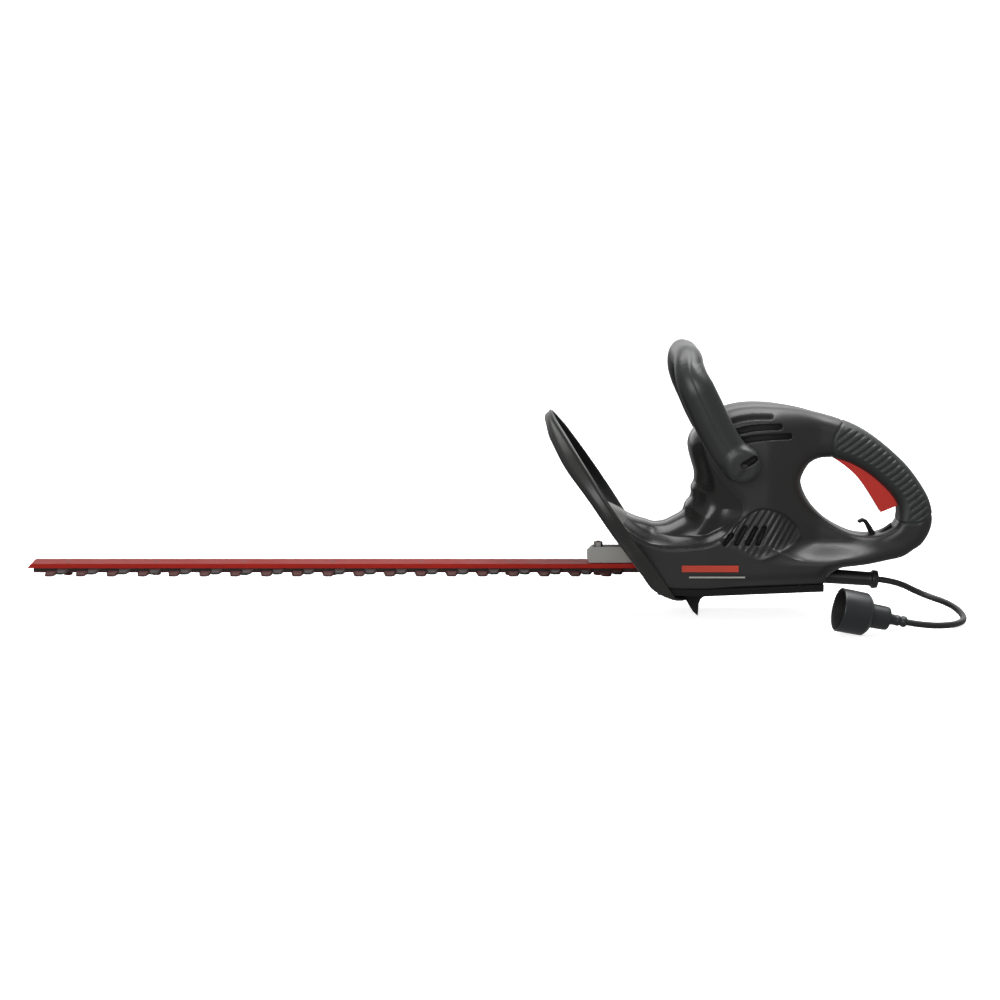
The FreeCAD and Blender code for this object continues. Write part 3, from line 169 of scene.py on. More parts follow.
def material(name, color, roughness, metallic=0.0, bump=0.0, scale=900.0, mottle=0.0, mottle_scale=40.0,
             stretch=(1, 1, 1), specular=0.5, upward=1.0):
    """A surface with a fine grain, and colour and gloss that vary a little over it.

    Faces that look up have their colour scaled by upward, a painted shade on their tops.
    """
    made = bpy.data.materials.new(name)
    made.use_nodes = True
    nodes, links = made.node_tree.nodes, made.node_tree.links
    shader = nodes["Principled BSDF"]
    shader.inputs["Base Color"].default_value = (*color, 1)
    shader.inputs["Roughness"].default_value = roughness
    shader.inputs["Metallic"].default_value = metallic
    shader.inputs["Specular IOR Level"].default_value = specular
    place = nodes.new("ShaderNodeTexCoord")
    mapping = nodes.new("ShaderNodeMapping")
    mapping.inputs["Scale"].default_value = stretch
    links.new(place.outputs["Object"], mapping.inputs["Vector"])
    if bump:
        grain = nodes.new("ShaderNodeTexNoise")
        grain.inputs["Scale"].default_value = scale
        grain.inputs["Detail"].default_value = 3
        links.new(mapping.outputs["Vector"], grain.inputs["Vector"])
        raised = nodes.new("ShaderNodeBump")
        raised.inputs["Strength"].default_value = bump
        raised.inputs["Distance"].default_value = 0.0003
        links.new(grain.outputs["Fac"], raised.inputs["Height"])
        links.new(raised.outputs["Normal"], shader.inputs["Normal"])
    if mottle:
        cloud = nodes.new("ShaderNodeTexNoise")
        cloud.inputs["Scale"].default_value = mottle_scale
        cloud.inputs["Detail"].default_value = 4
        links.new(mapping.outputs["Vector"], cloud.inputs["Vector"])
        tone = nodes.new("ShaderNodeMapRange")
        tone.inputs["To Min"].default_value = roughness - mottle
        tone.inputs["To Max"].default_value = roughness + mottle
        links.new(cloud.outputs["Fac"], tone.inputs["Value"])
        links.new(tone.outputs["Result"], shader.inputs["Roughness"])
        shade = nodes.new("ShaderNodeMix")
        shade.data_type = "RGBA"
        shade.inputs["A"].default_value = (*[c * (1 - mottle) for c in color], 1)
        shade.inputs["B"].default_value = (*[min(1, c * (1 + mottle)) for c in color], 1)
        links.new(cloud.outputs["Fac"], shade.inputs["Factor"])
        links.new(shade.outputs["Result"], shader.inputs["Base Color"])
        # Painted shade: faces that look up get their colour scaled by upward, darkening their tops.
        if upward != 1.0:
            facing = nodes.new("ShaderNodeNewGeometry")
            parts = nodes.new("ShaderNodeSeparateXYZ")
            top_shade_mix = nodes.new("ShaderNodeMix")
            top_shade_mix.data_type = "RGBA"
            top_shade_mix.inputs["B"].default_value = (*[c * upward for c in color], 1)
            links.new(facing.outputs["Normal"], parts.inputs["Vector"])
            links.new(parts.outputs["Z"], top_shade_mix.inputs["Factor"])
            links.new(shade.outputs["Result"], top_shade_mix.inputs["A"])
            links.new(top_shade_mix.outputs["Result"], shader.inputs["Base Color"])
    return made


PLASTIC = material("housing_plastic", (0.018, 0.019, 0.018), 0.38, bump=0.22, mottle=0.06)
GLOSS = material("saddle_plastic", (0.015, 0.0155, 0.0145), 0.24, bump=0.06, mottle=0.05)
# Painted light: the patch on the saddle's nose is a lighter grey where light from above falls on it; its
# strong bump is a grain.
LIT_GRAINED_PATCH = material("grained_patch_painted_light", (0.075, 0.075, 0.07), 0.5, bump=1.0, scale=500, mottle=0.3,
                   mottle_scale=420)
# Painted shade: near-black put in the vents, the screw recess and the plug's cup where shade falls.
RECESS_SHADE = material("painted_recess_shade", (0.004, 0.004, 0.004), 0.7, mottle=0.05)
GUARD = material("guard_plastic", (0.021, 0.022, 0.020), 0.34, bump=0.15, mottle=0.06)
# Painted shade: the inside of the dish is given a darker plastic than its outside.
GUARD_INSIDE_SHADE = material("guard_inside_painted_shade", (0.006, 0.006, 0.006), 0.6, bump=0.15, mottle=0.05)
HANDLE = material("handle_plastic", (0.023, 0.025, 0.024), 0.38, bump=0.22, mottle=0.06)
GRIP = material("grip_rubber", (0.024, 0.027, 0.026), 0.46, bump=0.2, mottle=0.06)
COVER = material("cover_plastic", (0.004, 0.004, 0.004), 0.6, bump=0.2, mottle=0.06, specular=0.25)
# The red paint is the bar's own; upward=0.42 adds a painted shade that darkens its top faces.
BAR_RED = material("bar_paint_shaded_top", (0.46, 0.022, 0.014), 0.55, mottle=0.12, mottle_scale=25,
                   specular=0.12, upward=0.42)
BLADE_DARK = material("upper_blade_steel", (0.010, 0.008, 0.008), 0.5, specular=0.3, bump=0.1,
                      mottle=0.15)
BLADE_RED = material("lower_blade_paint", (0.050, 0.014, 0.013), 0.5, specular=0.3, bump=0.1, mottle=0.2)
BOLT_DARK = material("painted_bolt", (0.060, 0.010, 0.008), 0.5, specular=0.2, mottle=0.15)
ZINC = material("zinc", (0.40, 0.40, 0.38), 0.32, metallic=1.0, mottle=0.08)
# Painted shade: upward=0.12 darkens the top faces of the bracket and of the other parts given this metal.
CAST = material("bracket_metal_shaded_top", (0.40, 0.40, 0.375), 0.5, upward=0.12, bump=0.3, scale=500,
                mottle=0.08)
STEEL = material("machined_steel", (0.45, 0.45, 0.46), 0.28, metallic=1.0, mottle=0.06,
                 stretch=(1, 1, 12))
COPPER = material("copper_wire", (0.55, 0.22, 0.10), 0.35, metallic=1.0, bump=0.5, scale=400,
                  stretch=(1, 1, 6))
BRASS = material("brass", (0.62, 0.46, 0.20), 0.3, metallic=1.0, mottle=0.08)
CARBON = material("carbon", (0.02, 0.02, 0.02), 0.6, bump=0.2, mottle=0.06)
NYLON = material("nylon", (0.5, 0.5, 0.45), 0.5, bump=0.1, mottle=0.06)
TRIGGER = material("trigger_plastic", (0.66, 0.030, 0.018), 0.34, bump=0.06, mottle=0.05)
CORD = material("cord_rubber", (0.012, 0.012, 0.012), 0.42, bump=0.15, mottle=0.08)
PLUG = material("plug_rubber", (0.018, 0.020, 0.022), 0.34, bump=0.12, mottle=0.08)
BADGE_RED = material("badge_red", (0.60, 0.055, 0.028), 0.4, mottle=0.05)
BADGE_LIGHT = material("badge_light", (0.45, 0.45, 0.42), 0.4, mottle=0.05)


# ---------------------------------------------------------------- housing

HALF_BODY = 41.0
HALF_RING = 18.6
HALF_BASE = 42.0
TOP_TAPER = 2.5
NECK_DEPTH = 9.5
NECK_FLARE = 6.5
WAVE_LENGTH = 29
EDGE_ROUND = 13.5
LENS_DEPTH = 2.2
LENS_RIB = 1.1
LENS_RIB_PITCH = 6.9
TOP_VENT_HALF = 3.0
LOWER_VENT_HALF = 2.3
VENT_DEPTH = 5.5
GRIP_RIB_PITCH = 6.3
GRIP_RISE = 0.35
GROOVE_DEPTH = 0.9
HALVES_GROOVE = 0.55

OUTSIDE_TOP = [(345.6, 43.8), (352.5, 49.3), (358.7, 52.3), (365, 53.3), (377, 54), (391, 55), (406.4, 57),
               (419.4, 58.8), (427, 61.5), (434.2, 66.5), (442.2, 72.3), (449, 82.8), (452, 93.2),
               (452, 103.6), (449, 116), (443.4, 127.4),
               (432.8, 142.9), (422.2, 155.3), (406.5, 169.7), (391, 181.5), (376.5, 190.2), (362.2, 196.3),
               (349.9, 200.5), (334.6, 204.6), (318.8, 208.6), (305.9, 210.8), (290.8, 212.4), (275.6, 213.1),
               (264.2, 212.7), (252.9, 211), (242.2, 207.4), (224, 197), (212.5, 186), (208.3, 175),
               (209, 165), (212, 154), (214.3, 146), (214.6, 137), (211.6, 130), (211.4, 121), (206, 113),
               (203, 105), (192.8, 98.7), (184, 94.8), (175, 94.1), (167, 96.4), (152.5, 101), (136, 109.5),
               (120, 115.5)]
OUTSIDE = [(175, 34), (221, 33.4), (341, 38.3), (341, 40.2)] + rounded(OUTSIDE_TOP, closed=False)
LOOP = rounded([(320, 135.7), (322.2, 145), (328.7, 154.3), (337.8, 158.8), (347.9, 159.9), (358, 158),
                (371.4, 153.2), (386.9, 144), (398.5, 134.7), (409, 124.3), (416.4, 114), (418.7, 103.6),
                (417.4, 95.3), (412, 89), (397.8, 82.7), (378.4, 82.7), (362.9, 87.9),
                (347.4, 97.3), (334.9, 108.8), (325.4, 122.2)])
BASE = [(175, 34), (221, 33.4), (341, 38.3), (345, 50), (336, 56), (312, 64), (290, 74), (270, 86),
        (252, 85), (237, 80), (222, 75.5), (198, 73), (183, 73.5), (168, 77), (156, 83), (140, 90)]
LEDGE = rounded([(130, 99), (143, 91), (155.9, 83.4), (168.7, 77.4), (183.6, 74.6), (198.3, 74.2),
                 (222.9, 76.4), (237.6, 81.6), (252.3, 90), (266, 102)], closed=False)
NECK_BACK = rounded([(262, 99), (266, 112), (263, 124), (252, 136), (240, 150), (230, 166), (226, 182),
                     (232, 198), (246, 216)], closed=False)
LENS = rounded([(238, 80.5), (247, 91), (257, 101.5), (268, 110.5), (280, 114.5), (296, 110.4), (310.4, 99.9),
                (317.6, 88.7), (310.9, 77.4), (290.4, 68.4), (276.7, 64), (262, 69)])
TOP_VENTS = [[(244.3, 198.8), (256, 202.6), (270, 204.6), (285.8, 205)],
             [(250.9, 189.9), (264, 193), (279, 194.6), (294.8, 194.7)],
             [(257.9, 181.2), (272, 184), (288, 185), (304.8, 184.9)]]
LOWER_VENTS = [[(242.6, 79.2), (249.2, 87.6)], [(254.2, 79), (262.6, 94.6)], [(265, 79), (272.6, 94.6)],
               [(275.2, 79), (281.2, 94.6)]]
LIT_PATCH_AREA = [(118, 126), (131, 119.5), (151, 111), (146, 100), (140, 96.5), (131, 104)]
GRIP_START = rounded([(369, 208), (362.1, 197.6), (355.4, 189), (351, 179.3), (350.2, 167.5), (352, 150)],
                     closed=False)
GRIP_END = [(405, 98), (424.8, 95.6), (436.4, 95.4), (445, 99.5), (460, 108)]


def signed_distance(path, x, z):
    """Distance to an open path, positive on its left."""
    off, _, side = path_distance(path, x, z)
    return np.where(side > 0, off, -off)


def deep(flat):
    """A field of the side view, repeated across the width."""
    return flat[:, None, :]


def nearest(lines, half, x, z):
    """Signed distance to the nearest of some slots, each half wide each way from its line."""
    best = np.full(x.shape, 1e9)
    for line in lines:
        best = np.minimum(best, path_distance(line, x, z)[0] - half)
    return best


def body_half(x, z):
    """Half the width: broad at the body, slim round the rear ring, and broad further back low down."""
    skirt = smoothstep(80, 57, z)
    broad = (1 - skirt) * smoothstep(340, 282, x) + skirt * smoothstep(436, 352, x)
    half = HALF_RING + (HALF_BODY - HALF_RING) * broad
    return half - TOP_TAPER * smoothstep(150, 215, z) * broad


def neck_depth(x, z):
    """How far the neck's sides lie below the body's, with faint waves and a bulge at its foot."""
    waves = 0.5 * np.sin((z - 0.45 * (x - 210)) * 2 * math.pi / WAVE_LENGTH + 1.2) * smoothstep(96, 122, z)
    u, v = 0.5 * (x - 224) + 0.87 * (z - 100), 0.87 * (x - 224) - 0.5 * (z - 100)
    toe = 1.8 * np.exp(-(v / 7.5) ** 2 - (u / 20) ** 2)
    return NECK_DEPTH - waves - toe - NECK_FLARE * smoothstep(172, 128, x)


def side_panel(half, x, z):
    """Half width with the oval panel let in, its slanted ribs, and the lip at its lower rear."""
    lens = region(LENS, x, z)
    wall = 1.6 + 5 * smoothstep(100, 74, z)
    inside = smoothstep(0, 1, (0.4 - lens) / wall) * (1 - smoothstep(276, 250, x) * smoothstep(82, 68, z))
    ribs = np.abs(((x - 0.58 * (z - 80)) / LENS_RIB_PITCH) % 1 - 0.5) * 2
    ribs = smoothstep(0.20, 0.75, ribs)
    half = half - inside * (LENS_DEPTH - LENS_RIB * ribs * smoothstep(0, -3, lens))
    return half + np.exp(-((lens - 1.2) / 1.6) ** 2) * smoothstep(268, 300, x) * smoothstep(92, 80, z)


def grip_fields(outer, loop, x, z):
    """Where the soft grip is, its slanted ribs, and the grooves at its two ends."""
    behind = signed_distance(GRIP_START, x, z)
    upward = signed_distance(GRIP_END, x, z)
    zone = smoothstep(-0.6, 0.6, behind) * smoothstep(-0.6, 0.6, upward) * smoothstep(330, 345, x)
    to_groove = np.minimum(np.where(x > 340, np.abs(behind), 99), np.where(x > 415, np.abs(upward), 99))
    groove = np.exp(-(to_groove / 0.9) ** 2)
    wave = np.abs(((0.6 * x - 0.8 * z) / GRIP_RIB_PITCH) % 1 - 0.5) * 2
    ribbed = zone * smoothstep(2.5, 4.5, behind) * smoothstep(2.5, 4.5, upward)
    ribbed = ribbed * smoothstep(-2.5, -6, outer) * smoothstep(9, 12.5, loop)
    return zone, ribbed * smoothstep(0.5, 0.85, wave), groove


def housing_shell():
    """Both halves of the housing, with the soft grip, as one surface."""
    low, high = (112, -46, 30), (456, 46, 219)
    x3, y3, z3 = axes(low, high)
    x, z = np.meshgrid(x3[:, 0, 0], z3[0, 0, :], indexing="ij")
    y = np.abs(y3)
    outer = region(OUTSIDE, x, z)
    loop = region(LOOP, x, z)
    above = signed_distance(LEDGE, x, z)
    before = signed_distance(NECK_BACK, x, z)
    neck = smoothstep(-0.6, 11, above) * smoothstep(-3, 27, before)
    half = side_panel(body_half(x, z) - neck * neck_depth(x, z), x, z)
    round_off = EDGE_ROUND + 13 * neck - smoothstep(330, 400, x)
    round_off = round_off + 7 * smoothstep(170, 205, z) * smoothstep(340, 300, x)
    vents = nearest([rounded(line, closed=False) for line in TOP_VENTS], TOP_VENT_HALF, x, z)
    slots = nearest(LOWER_VENTS, LOWER_VENT_HALF, x, z)
    zone, ribs, groove = grip_fields(outer, loop, x, z)

    field = slab(deep(outer), y, deep(half), deep(round_off))
    base_half = HALF_BASE - 2.0 * smoothstep(225, 262, x)
    field = smooth_min(field, slab(deep(region(BASE, x, z)), y, deep(base_half), 1.5), 1.2)
    field = np.maximum(field, deep(outer))
    loop_edge = 17 - 8 * smoothstep(125, 95, z) * smoothstep(325, 365, x)
    field = smooth_max(field, -slab(deep(loop), y, 60, 1), deep(loop_edge))
    field = field - deep(GRIP_RISE * zone - ribs)
    field = field + GROOVE_DEPTH * deep(groove)
    skin = deep(half) - VENT_DEPTH
    field = smooth_max(field, -np.maximum(deep(vents), skin - y), 0.8)
    field = smooth_max(field, -np.maximum(deep(slots), skin - 1 - y), 0.6)
    field = field + HALVES_GROOVE * np.exp(-(y / 0.8) ** 2)
    shell = surface("housing_shell", field, low)

    c = centres(shell)
    at = (np.clip(((c[:, 0] - low[0]) / VOXEL).round().astype(int), 0, x.shape[0] - 1),
          np.clip(((c[:, 2] - low[2]) / VOXEL).round().astype(int), 0, x.shape[1] - 1))
    far = np.abs(c[:, 1])
    index = np.zeros(len(c))
    index[(above[at] > 0.2) & (before[at] > 6)] = 1
    # Painted light: faces in the patch at the saddle's nose get the lighter grey of lit plastic.
    index[(region(LIT_PATCH_AREA, x, z)[at] < 0) & (far > 4)] = 4
    index[zone[at] > 0.5] = 2
    # Painted shade: the walls and floors of the vents and slots are painted near-black.
    shaded_hollow = ((vents[at] < 0.35) & (far < half[at] - 1.0)) | ((slots[at] < 0.35) & (far < half[at] - 0.9))
    shaded_hollow = shaded_hollow | (vents[at] < -0.2) | (slots[at] < -0.2)
    index[shaded_hollow & (far > 8)] = 3
    paint(shell, [PLASTIC, GLOSS, GRIP, RECESS_SHADE, LIT_GRAINED_PATCH], index)
    return shell


# ---------------------------------------------------------------- guard

LEAN = math.radians(33.7)
GUARD_TOP = (72, 207)
GUARD_WALL = 2.5
GUARD_RIM = 1.7
GUARD_SIDE = [(228, 24), (227, 36), (222, 44), (212, 47.5), (200, 49), (186, 51), (172, 56), (158, 64),
              (146, 74), (134, 83), (119, 89), (104, 90.5), (84, 87.5), (65, 79.5), (45, 66.5), (30, 53),
              (14, 34), (4, 17), (0, 0)]


def guard_place(points):
    """Moves points from the guard's plane into the row's frame."""
    down, across, out = points[:, 0], points[:, 1], points[:, 2]
    x = GUARD_TOP[0] + down * math.sin(LEAN) + out * math.cos(LEAN)
    z = GUARD_TOP[1] - down * math.cos(LEAN) + out * math.sin(LEAN)
    return np.stack([x, across, z], axis=1)


def guard_shell():
    """Thin dish with a rim, open to the rear, with a way through for the bar."""
    low, high = (-4, -94, -23), (236, 94, 9)
    d3, y3, o3 = axes(low, high)
    mirrored = [(d, -y) for d, y in reversed(GUARD_SIDE[:-1])]
    arch = rounded(GUARD_SIDE + mirrored, closed=False)
    down, y = np.meshgrid(d3[:, 0, 0], y3[0, :, 0], indexing="ij")
    flat = region(arch, down, y)
    chin = 20 * np.clip((down - 194) / 34, 0, 2) ** 1.7
    front = chin - 10 - 4.3 * smoothstep(0, 20, down) - 3 * np.exp(-((down - 46) / 27) ** 2)
    back = np.maximum(0.9 * smoothstep(0, 30, down) - 0.6, front + 3)
    f3, r3, flat3 = front[:, :, None], back[:, :, None], flat[:, :, None]
    middle, thick = (f3 + r3) / 2, (r3 - f3) / 2
    from_middle = np.abs(o3 - middle)
    front_edge = slab(flat3, from_middle, thick, np.minimum(7.5, thick))
    rear_edge = slab(flat3, from_middle, thick, 1.0)
    solid = np.where(o3 < middle, front_edge, rear_edge)
    inner = slab(flat3 + 2.6, np.abs(o3 - (f3 + GUARD_WALL + 30)), 30, 6)
    field = smooth_max(solid, -inner, 0.8)
    rim = np.hypot(flat3 + 0.7, o3 - r3 + 0.9) - GUARD_RIM
    field = smooth_min(field, rim, 0.8)
    way = np.maximum(np.abs(d3 - 175) - 24, np.abs(y3) - 18)
    field = np.maximum(field, -way)
    shell = surface("guard_shell", field, low, guard_place)

    c = centres(shell)
    x, z = c[:, 0] - GUARD_TOP[0], c[:, 2] - GUARD_TOP[1]
    d = x * math.sin(LEAN) - z * math.cos(LEAN)
    o = x * math.cos(LEAN) + z * math.sin(LEAN)
    at = (np.clip(((d - low[0]) / VOXEL).round().astype(int), 0, down.shape[0] - 1),
          np.clip(((c[:, 1] - low[1]) / VOXEL).round().astype(int), 0, down.shape[1] - 1))
    # Painted shade: faces inside the dish, back from its front face, get the darker plastic.
    shaded_inside = (flat[at] < -2.1) & (o > front[at] + 1.2)
    paint(shell, [GUARD, GUARD_INSIDE_SHADE], np.where(shaded_inside, 1.0, 0.0))
    return shell


# ---------------------------------------------------------------- front handle

BAIL_LINE = [(256.5, 160.5), (249, 167.5), (241.6, 175.5), (234.3, 187.5), (226.4, 202.2), (219.5, 217),
             (212.8, 231), (206.8, 244.5), (204.6, 256), (205.6, 266), (208, 276), (210.5, 284)]
BAIL_TOP = 128.6
BAIL_BEND = 34.0
BAIL_SIDE = 58
BAIL_HALF = 12
FOOT = (256.4, 160.8)
FOOT_RADIUS = 16.8
RECESS = (262, 165)
RECESS_TURN = math.radians(32)
RECESS_REACH = 5.8
RECESS_RADIUS = 3.3


def to_recess(x, z):
    """Distance to the middle line of the screw recess in the handle's foot."""
    cos, sin = math.cos(RECESS_TURN), math.sin(RECESS_TURN)
    u = (x - RECESS[0]) * cos + (z - RECESS[1]) * sin
    v = -(x - RECESS[0]) * sin + (z - RECESS[1]) * cos
    return np.hypot(np.maximum(np.abs(u) - RECESS_REACH, 0), v)


def bail_shell():
    """Arch with a lens-shaped section, in two halves that meet in a line round its side."""
    low, high = (176, -74, 136), (288, 74, 282)
    x3, y3, z3 = axes(low, high)
    x, z = np.meshgrid(x3[:, 0, 0], z3[0, 0, :], indexing="ij")
    off, along, side = path_distance(rounded(BAIL_LINE, closed=False), x, z)
    n3 = deep(np.where(side > 0, off, -off))
    a3 = deep(along)
    y = np.abs(y3)
    up, out = a3 - (BAIL_TOP - BAIL_HALF - BAIL_BEND), y - (BAIL_SIDE - BAIL_BEND)
    bend = np.hypot(up, out) - BAIL_BEND
    a = np.where((up > 0) & (out > 0), bend, np.where(up > out, up - BAIL_BEND, out - BAIL_BEND))
    breadth = deep(np.interp(along, [0, 20, 60, 88, 108, 132], [17.6, 17.6, 17.6, 17.0, 14.8, 12.4]))
    section = (np.abs(a / BAIL_HALF) ** 2.2 + np.abs(n3 / breadth) ** 2.2) ** (1 / 2.2)
    field = (section - 1) * 11.5
    pad = slab(deep(np.hypot(x - FOOT[0], z - FOOT[1])) - FOOT_RADIUS, np.abs(y - BAIL_SIDE), BAIL_HALF, 5)
    below = (x - FOOT[0]) * 0.72 - (z - FOOT[1]) * 0.69
    field = np.maximum(field, deep(below))
    field = smooth_min(field, pad, 6)
    field = field + 0.5 * np.exp(-(n3 / 0.9) ** 2) * smoothstep(12, 24, a3) * (a > -2)
    recess = deep(to_recess(x, z)) - RECESS_RADIUS
    field = smooth_max(field, -np.maximum(recess, 60 - y), 0.6)
    shell = surface("front_handle_shell", field, low)

    c = centres(shell)
    across = np.abs(c[:, 1])
    # Painted shade: the inside of the screw recess is painted near-black.
    shaded_hole = (to_recess(c[:, 0], c[:, 2]) < RECESS_RADIUS + 0.4) & (across < 69) & (across > 59)
    paint(shell, [HANDLE, RECESS_SHADE], np.where(shaded_hole, 1.0, 0.0))
    return shell


# ---------------------------------------------------------------- turned pieces

def turned(name, profile, origin, along, look, segments=64, inside=()):
    """A piece turned about an axis, from (distance along it, radius) pairs.

    Inside lists the steps of the profile that are painted near-black, a painted shade.
    """
    axis = Vector(along).normalized()
    turn = Vector((0, 0, 1)).rotation_difference(axis).to_matrix()
    points, faces = [], []
    for h, r in profile:
        for i in range(segments):
            a = 2 * math.pi * i / segments
            p = turn @ Vector((r * math.cos(a), r * math.sin(a), h)) + Vector(origin)
            points.append(tuple(p))
    for k in range(len(profile) - 1):
        for i in range(segments):
            j = (i + 1) % segments
            near, far = k * segments, (k + 1) * segments
            faces.append([near + i, near + j, far + j, far + i])
    made = mesh(name, points, faces)
    index = np.zeros(len(faces))
    for k in inside:
        index[k * segments:(k + 1) * segments] = 1
    paint(made, [look, RECESS_SHADE] if inside else [look], index)
    return made


def eased(corners, r=0.8, steps=3):
    """A profile with its corners rounded by up to r."""
    made = [corners[0]]
    for a, b, c in zip(corners, corners[1:], corners[2:]):
        a, b, c = (np.array(p, float) for p in (a, b, c))
        before, after = np.linalg.norm(a - b), np.linalg.norm(c - b)
        p = b + (a - b) * min(r / before, 0.45)
        q = b + (c - b) * min(r / after, 0.45)
        for t in np.linspace(0, 1, steps + 1):
            made.append(tuple((1 - t) ** 2 * p + 2 * t * (1 - t) * b + t * t * q))
    made.append(corners[-1])
    return made


def relief():
    """Tapered sleeve and a flange at its end."""
    down = math.radians(4)
    corners = [(0, 0.2), (0, 7.6), (52, 7.1), (54.8, 7.3), (56, 9.4), (61.4, 9.0), (62.4, 5.2), (62.4, 3.0),
               (58, 3.0)]
    along = (math.cos(down), 0, -math.sin(down))
    return turned("strain_relief_sleeve", eased(corners, 0.9), (339, 0, 39.3), along, CORD)


LEAVE = (400.764, 0, 34.996)
LAST = (434.8, -89.4, 7.7)
END = (413.5, -92, 12.3)
ROUTE = [LEAVE, (418.895, 0, 33.41), (447, 6.5, 18.3), (475, -8.6, 11.3), (483.5, -39.3, 3.8),
         (468, -68, 3.7), LAST, END]
CORD_RADIUS = 3.2


def plug():
    """Shrouded plug: neck, body and a deep round cup. Returns the pieces."""
    way = Vector(END) - Vector(LAST)
    neck = [(-1.0, 3.3), (-0.5, 4.7), (0.6, 5.4), (3.6, 5.4), (4.6, 4.5), (5.8, 4.5), (6.8, 5.2), (9.4, 5.3),
            (10.4, 4.9), (16.8, 5.6), (17.4, 6.2), (17.6, 9.8), (18.4, 11.2), (21.5, 11.6), (35, 11.9),
            (38.2, 12.0)]
    body = turned("plug_body_shell", eased(neck, 0.6), END, way, PLUG)
    cup = [(37.4, 4), (37.4, 15.2), (38.2, 17.0), (42.4, 20.9), (67.8, 21.3), (68.5, 20.6), (67.8, 18.9),
           (44, 18.4), (43, 17.6), (43, 0.1)]
    profile = eased(cup, 0.8)
    first = next(i for i, (h, r) in enumerate(profile) if h > 60 and r < 20.2)
    # Painted shade: the cup's inner steps near its mouth are painted near-black.
    shroud = turned("plug_shroud_shell", profile, END, way, PLUG, segments=96,
                    inside=range(first, len(profile) - 1))
    return body, shroud


def cord():
    """The cord: a curve along the route of the CAD tube."""
    curve = bpy.data.curves.new("cord_line", "CURVE")
    curve.dimensions = "3D"
    curve.bevel_depth = CORD_RADIUS * MM
    curve.bevel_resolution = 6
    curve.resolution_u = 24
    line = curve.splines.new("NURBS")
    line.points.add(len(ROUTE) - 1)
    for point, at in zip(line.points, ROUTE):
        point.co = (*[v * MM for v in at], 1)
    line.order_u = 3
    line.use_endpoint_u = True
    made = bpy.data.objects.new("cord_line", curve)
    bpy.context.scene.collection.objects.link(made)
    curve.materials.append(CORD)
    return made


SCREWS = [(326, 39.2, 62), (300, 39, 202), (340, 17, 184), (434, 17.4, 98)]
SCREW_HEAD = [(-6, 0.1), (-6, 2), (0, 2), (0, 3.6), (1.2, 3.4), (1.6, 2.6), (1.6, 1.3), (0.8, 1.2),
              (0.8, 0.1)]
BADGE_SIDE = 42.7
BADGE_PLATES = [("bar", 200.4, 256.4, 51.2, 57.8, BADGE_RED), ("line", 207.6, 263, 45.1, 46.7, BADGE_LIGHT)]


def screws():
    """Heads of the housing screws, on its right-hand side."""
    profile = eased(SCREW_HEAD, 0.3)
    return [turned(f"housing_screw_{i}", profile, place, (0, 1, 0), ZINC, segments=32)
            for i, place in enumerate(SCREWS)]


def badge():
    """Plain red bar and thin light line on each side of the base."""
    made = []
    for y, word, corners in ((-BADGE_SIDE, "left", [0, 1, 2, 3]), (BADGE_SIDE, "right", [3, 2, 1, 0])):
        for name, x0, x1, z0, z1, look in BADGE_PLATES:
            points = [(x0, y, z0), (x1, y, z0), (x1, y, z1), (x0, y, z1)]
            plate = mesh(f"badge_{name}_{word}", points, [corners], smooth=False)
            paint(plate, [look])
            made.append(plate)
    return made


shell = housing_shell()
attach(shell, "tool")
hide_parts("housing_left", "housing_right", "rear_grip_left", "rear_grip_right")

dish = guard_shell()
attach(dish, "tool")
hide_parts("hand_guard")

bail = bail_shell()
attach(bail, "tool")
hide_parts("front_handle_front", "front_handle_rear")

sleeve = relief()
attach(sleeve, "tool")
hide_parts("strain_relief")

plug_neck, plug_cup = plug()
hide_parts("plug_body")
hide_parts("plug_shroud")
for piece in (plug_neck, plug_cup):
    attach(piece, "tool")

line = cord()
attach(line, "tool")
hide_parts("cord")

for plate in badge():
    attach(plate, "tool")

heads = screws()
for head in heads:
    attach(head, "tool")
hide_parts("housing_screws")

NODE_LOOKS = {
    "support_bar": BAR_RED, "upper_blade": BLADE_DARK, "lower_blade": BLADE_RED, "blade_bolts": BOLT_DARK,
    "blade_washers": BOLT_DARK, "blade_spacers": ZINC, "bracket_nut": ZINC, "blade_bracket": CAST,
    "drive_gear": STEEL, "motor_shaft": STEEL, "gear_shaft": STEEL, "eccentrics": STEEL,
    "lower_motor_bearing": STEEL,
    "upper_motor_bearing": STEEL, "crank_bushes": BRASS, "motor_stator": STEEL, "field_coils": COPPER,
    "armature_core": STEEL, "armature_windings": COPPER, "commutator": COPPER, "carbon_brushes": CARBON,
    "brush_holders": BRASS, "motor_mounts": NYLON, "bearing_plate": CAST, "cooling_fan": NYLON,
    "gear_case": CAST, "gear_case_lid": CAST, "gear_case_screws": ZINC, "housing_screws": ZINC,
    "bottom_cover": COVER,
    "bottom_cover_screws": ZINC, "guard_screws": ZINC, "front_handle_screws": CARBON, "trigger": TRIGGER,
    "trigger_pin": STEEL, "trigger_spring": STEEL, "switch_body": CARBON, "switch_plunger": NYLON,
    "cord_hook": COVER, "plug_prongs": BRASS,
}
for node, look in NODE_LOOKS.items():
    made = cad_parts[node]
    made.data.materials.clear()
    made.data.materials.append(look)


# ---------------------------------------------------------------- studio

FLOOR_REACH = 9000
FLOOR_LEVEL = -0.3
WALL_TOP = 6000
TARGET = Vector((0.021, 0, 0.116))
CAMERA_DISTANCE = 2.3
CAMERA_ELEVATION = math.radians(10)


def area(name, place, target, size, power):
    """A rectangular lamp, in metres and watts, that faces its target."""
    data = bpy.data.lights.new(name, "AREA")
    data.shape = "RECTANGLE"
    data.size, data.size_y = size
    data.energy = power
    made = bpy.data.objects.new(name, data)
    bpy.context.scene.collection.objects.link(made)
    made.location = place
    made.rotation_euler = (Vector(target) - Vector(place)).to_track_quat("-Z", "Y").to_euler()
    return made


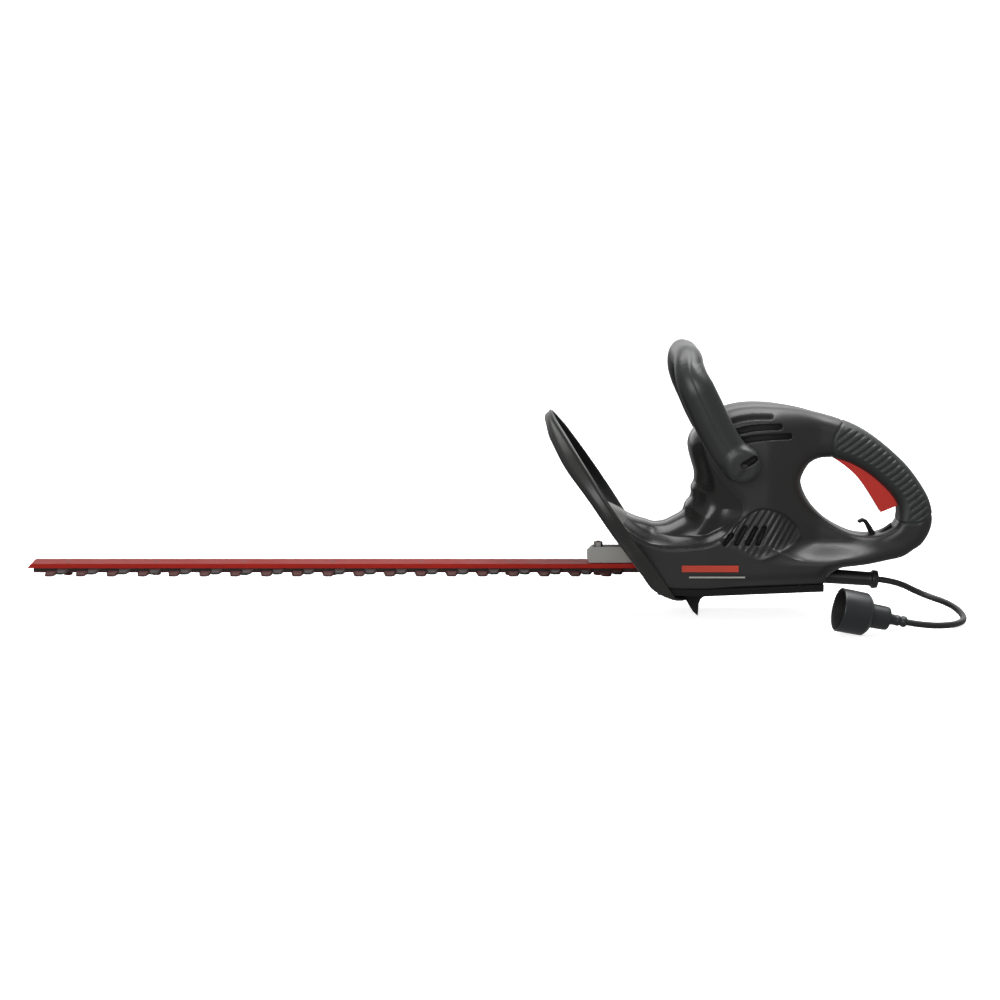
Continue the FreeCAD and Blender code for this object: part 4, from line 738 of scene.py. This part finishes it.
area("top_light", (0.15, 0.35, 1.6), (0.2, 0.05, 0.1), (2.4, 1.1), 40)
area("key_light", (0.80, -0.22, 1.75), (0.16, 0, 0.1), (0.5, 0.5), 12)
area("front_light", (-0.5, -2.6, 0.9), (0.1, 0, 0.1), (1.6, 1.2), 30)

world = bpy.data.worlds.new("studio")
world.use_nodes = True
world.node_tree.nodes["Background"].inputs["Color"].default_value = (1, 1, 1, 1)
world.node_tree.nodes["Background"].inputs["Strength"].default_value = 0.30
bpy.context.scene.world = world


def pale(name, glow):
    """A white surface that also glows a little, so that it is even right to its edges."""
    made = material(name, (0.9, 0.9, 0.9), 0.9, specular=0.0)
    made.node_tree.nodes["Principled BSDF"].inputs["Emission Color"].default_value = (1, 1, 1, 1)
    made.node_tree.nodes["Principled BSDF"].inputs["Emission Strength"].default_value = glow
    return made


ends = [(-FLOOR_REACH, -FLOOR_REACH), (FLOOR_REACH, -FLOOR_REACH), (FLOOR_REACH, FLOOR_REACH),
        (-FLOOR_REACH, FLOOR_REACH)]
floor = mesh("floor", [(*end, FLOOR_LEVEL) for end in ends], [[0, 1, 2, 3]], smooth=False)
paint(floor, [pale("floor_white", 0.8)])
walls = []
for i in range(4):
    a, b = math.radians(90 * i - 45), math.radians(90 * i + 45)
    left, right = ((FLOOR_REACH * math.cos(t), FLOOR_REACH * math.sin(t)) for t in (a, b))
    corners = [(*left, -1), (*right, -1), (*right, WALL_TOP), (*left, WALL_TOP)]
    wall = mesh(f"backdrop_{i}", corners, [[0, 1, 2, 3]], smooth=False)
    paint(wall, [pale("backdrop_white", 1.0)])
    walls.append(wall)
for plain in [floor] + walls:
    plain.visible_diffuse = False
    plain.visible_glossy = plain.name == "backdrop_1"
    plain.visible_shadow = False

camera_data = bpy.data.cameras.new("camera")
camera_data.lens = 82.8
camera_data.sensor_width = 36
camera_data.clip_end = 100
camera = bpy.data.objects.new("camera", camera_data)
bpy.context.scene.collection.objects.link(camera)
away = Vector((0, -math.cos(CAMERA_ELEVATION), math.sin(CAMERA_ELEVATION)))
camera.location = TARGET + CAMERA_DISTANCE * away
camera.rotation_euler = (TARGET - camera.location).to_track_quat("-Z", "Y").to_euler()
bpy.context.scene.camera = camera
bpy.context.scene.view_settings.view_transform = "Standard"
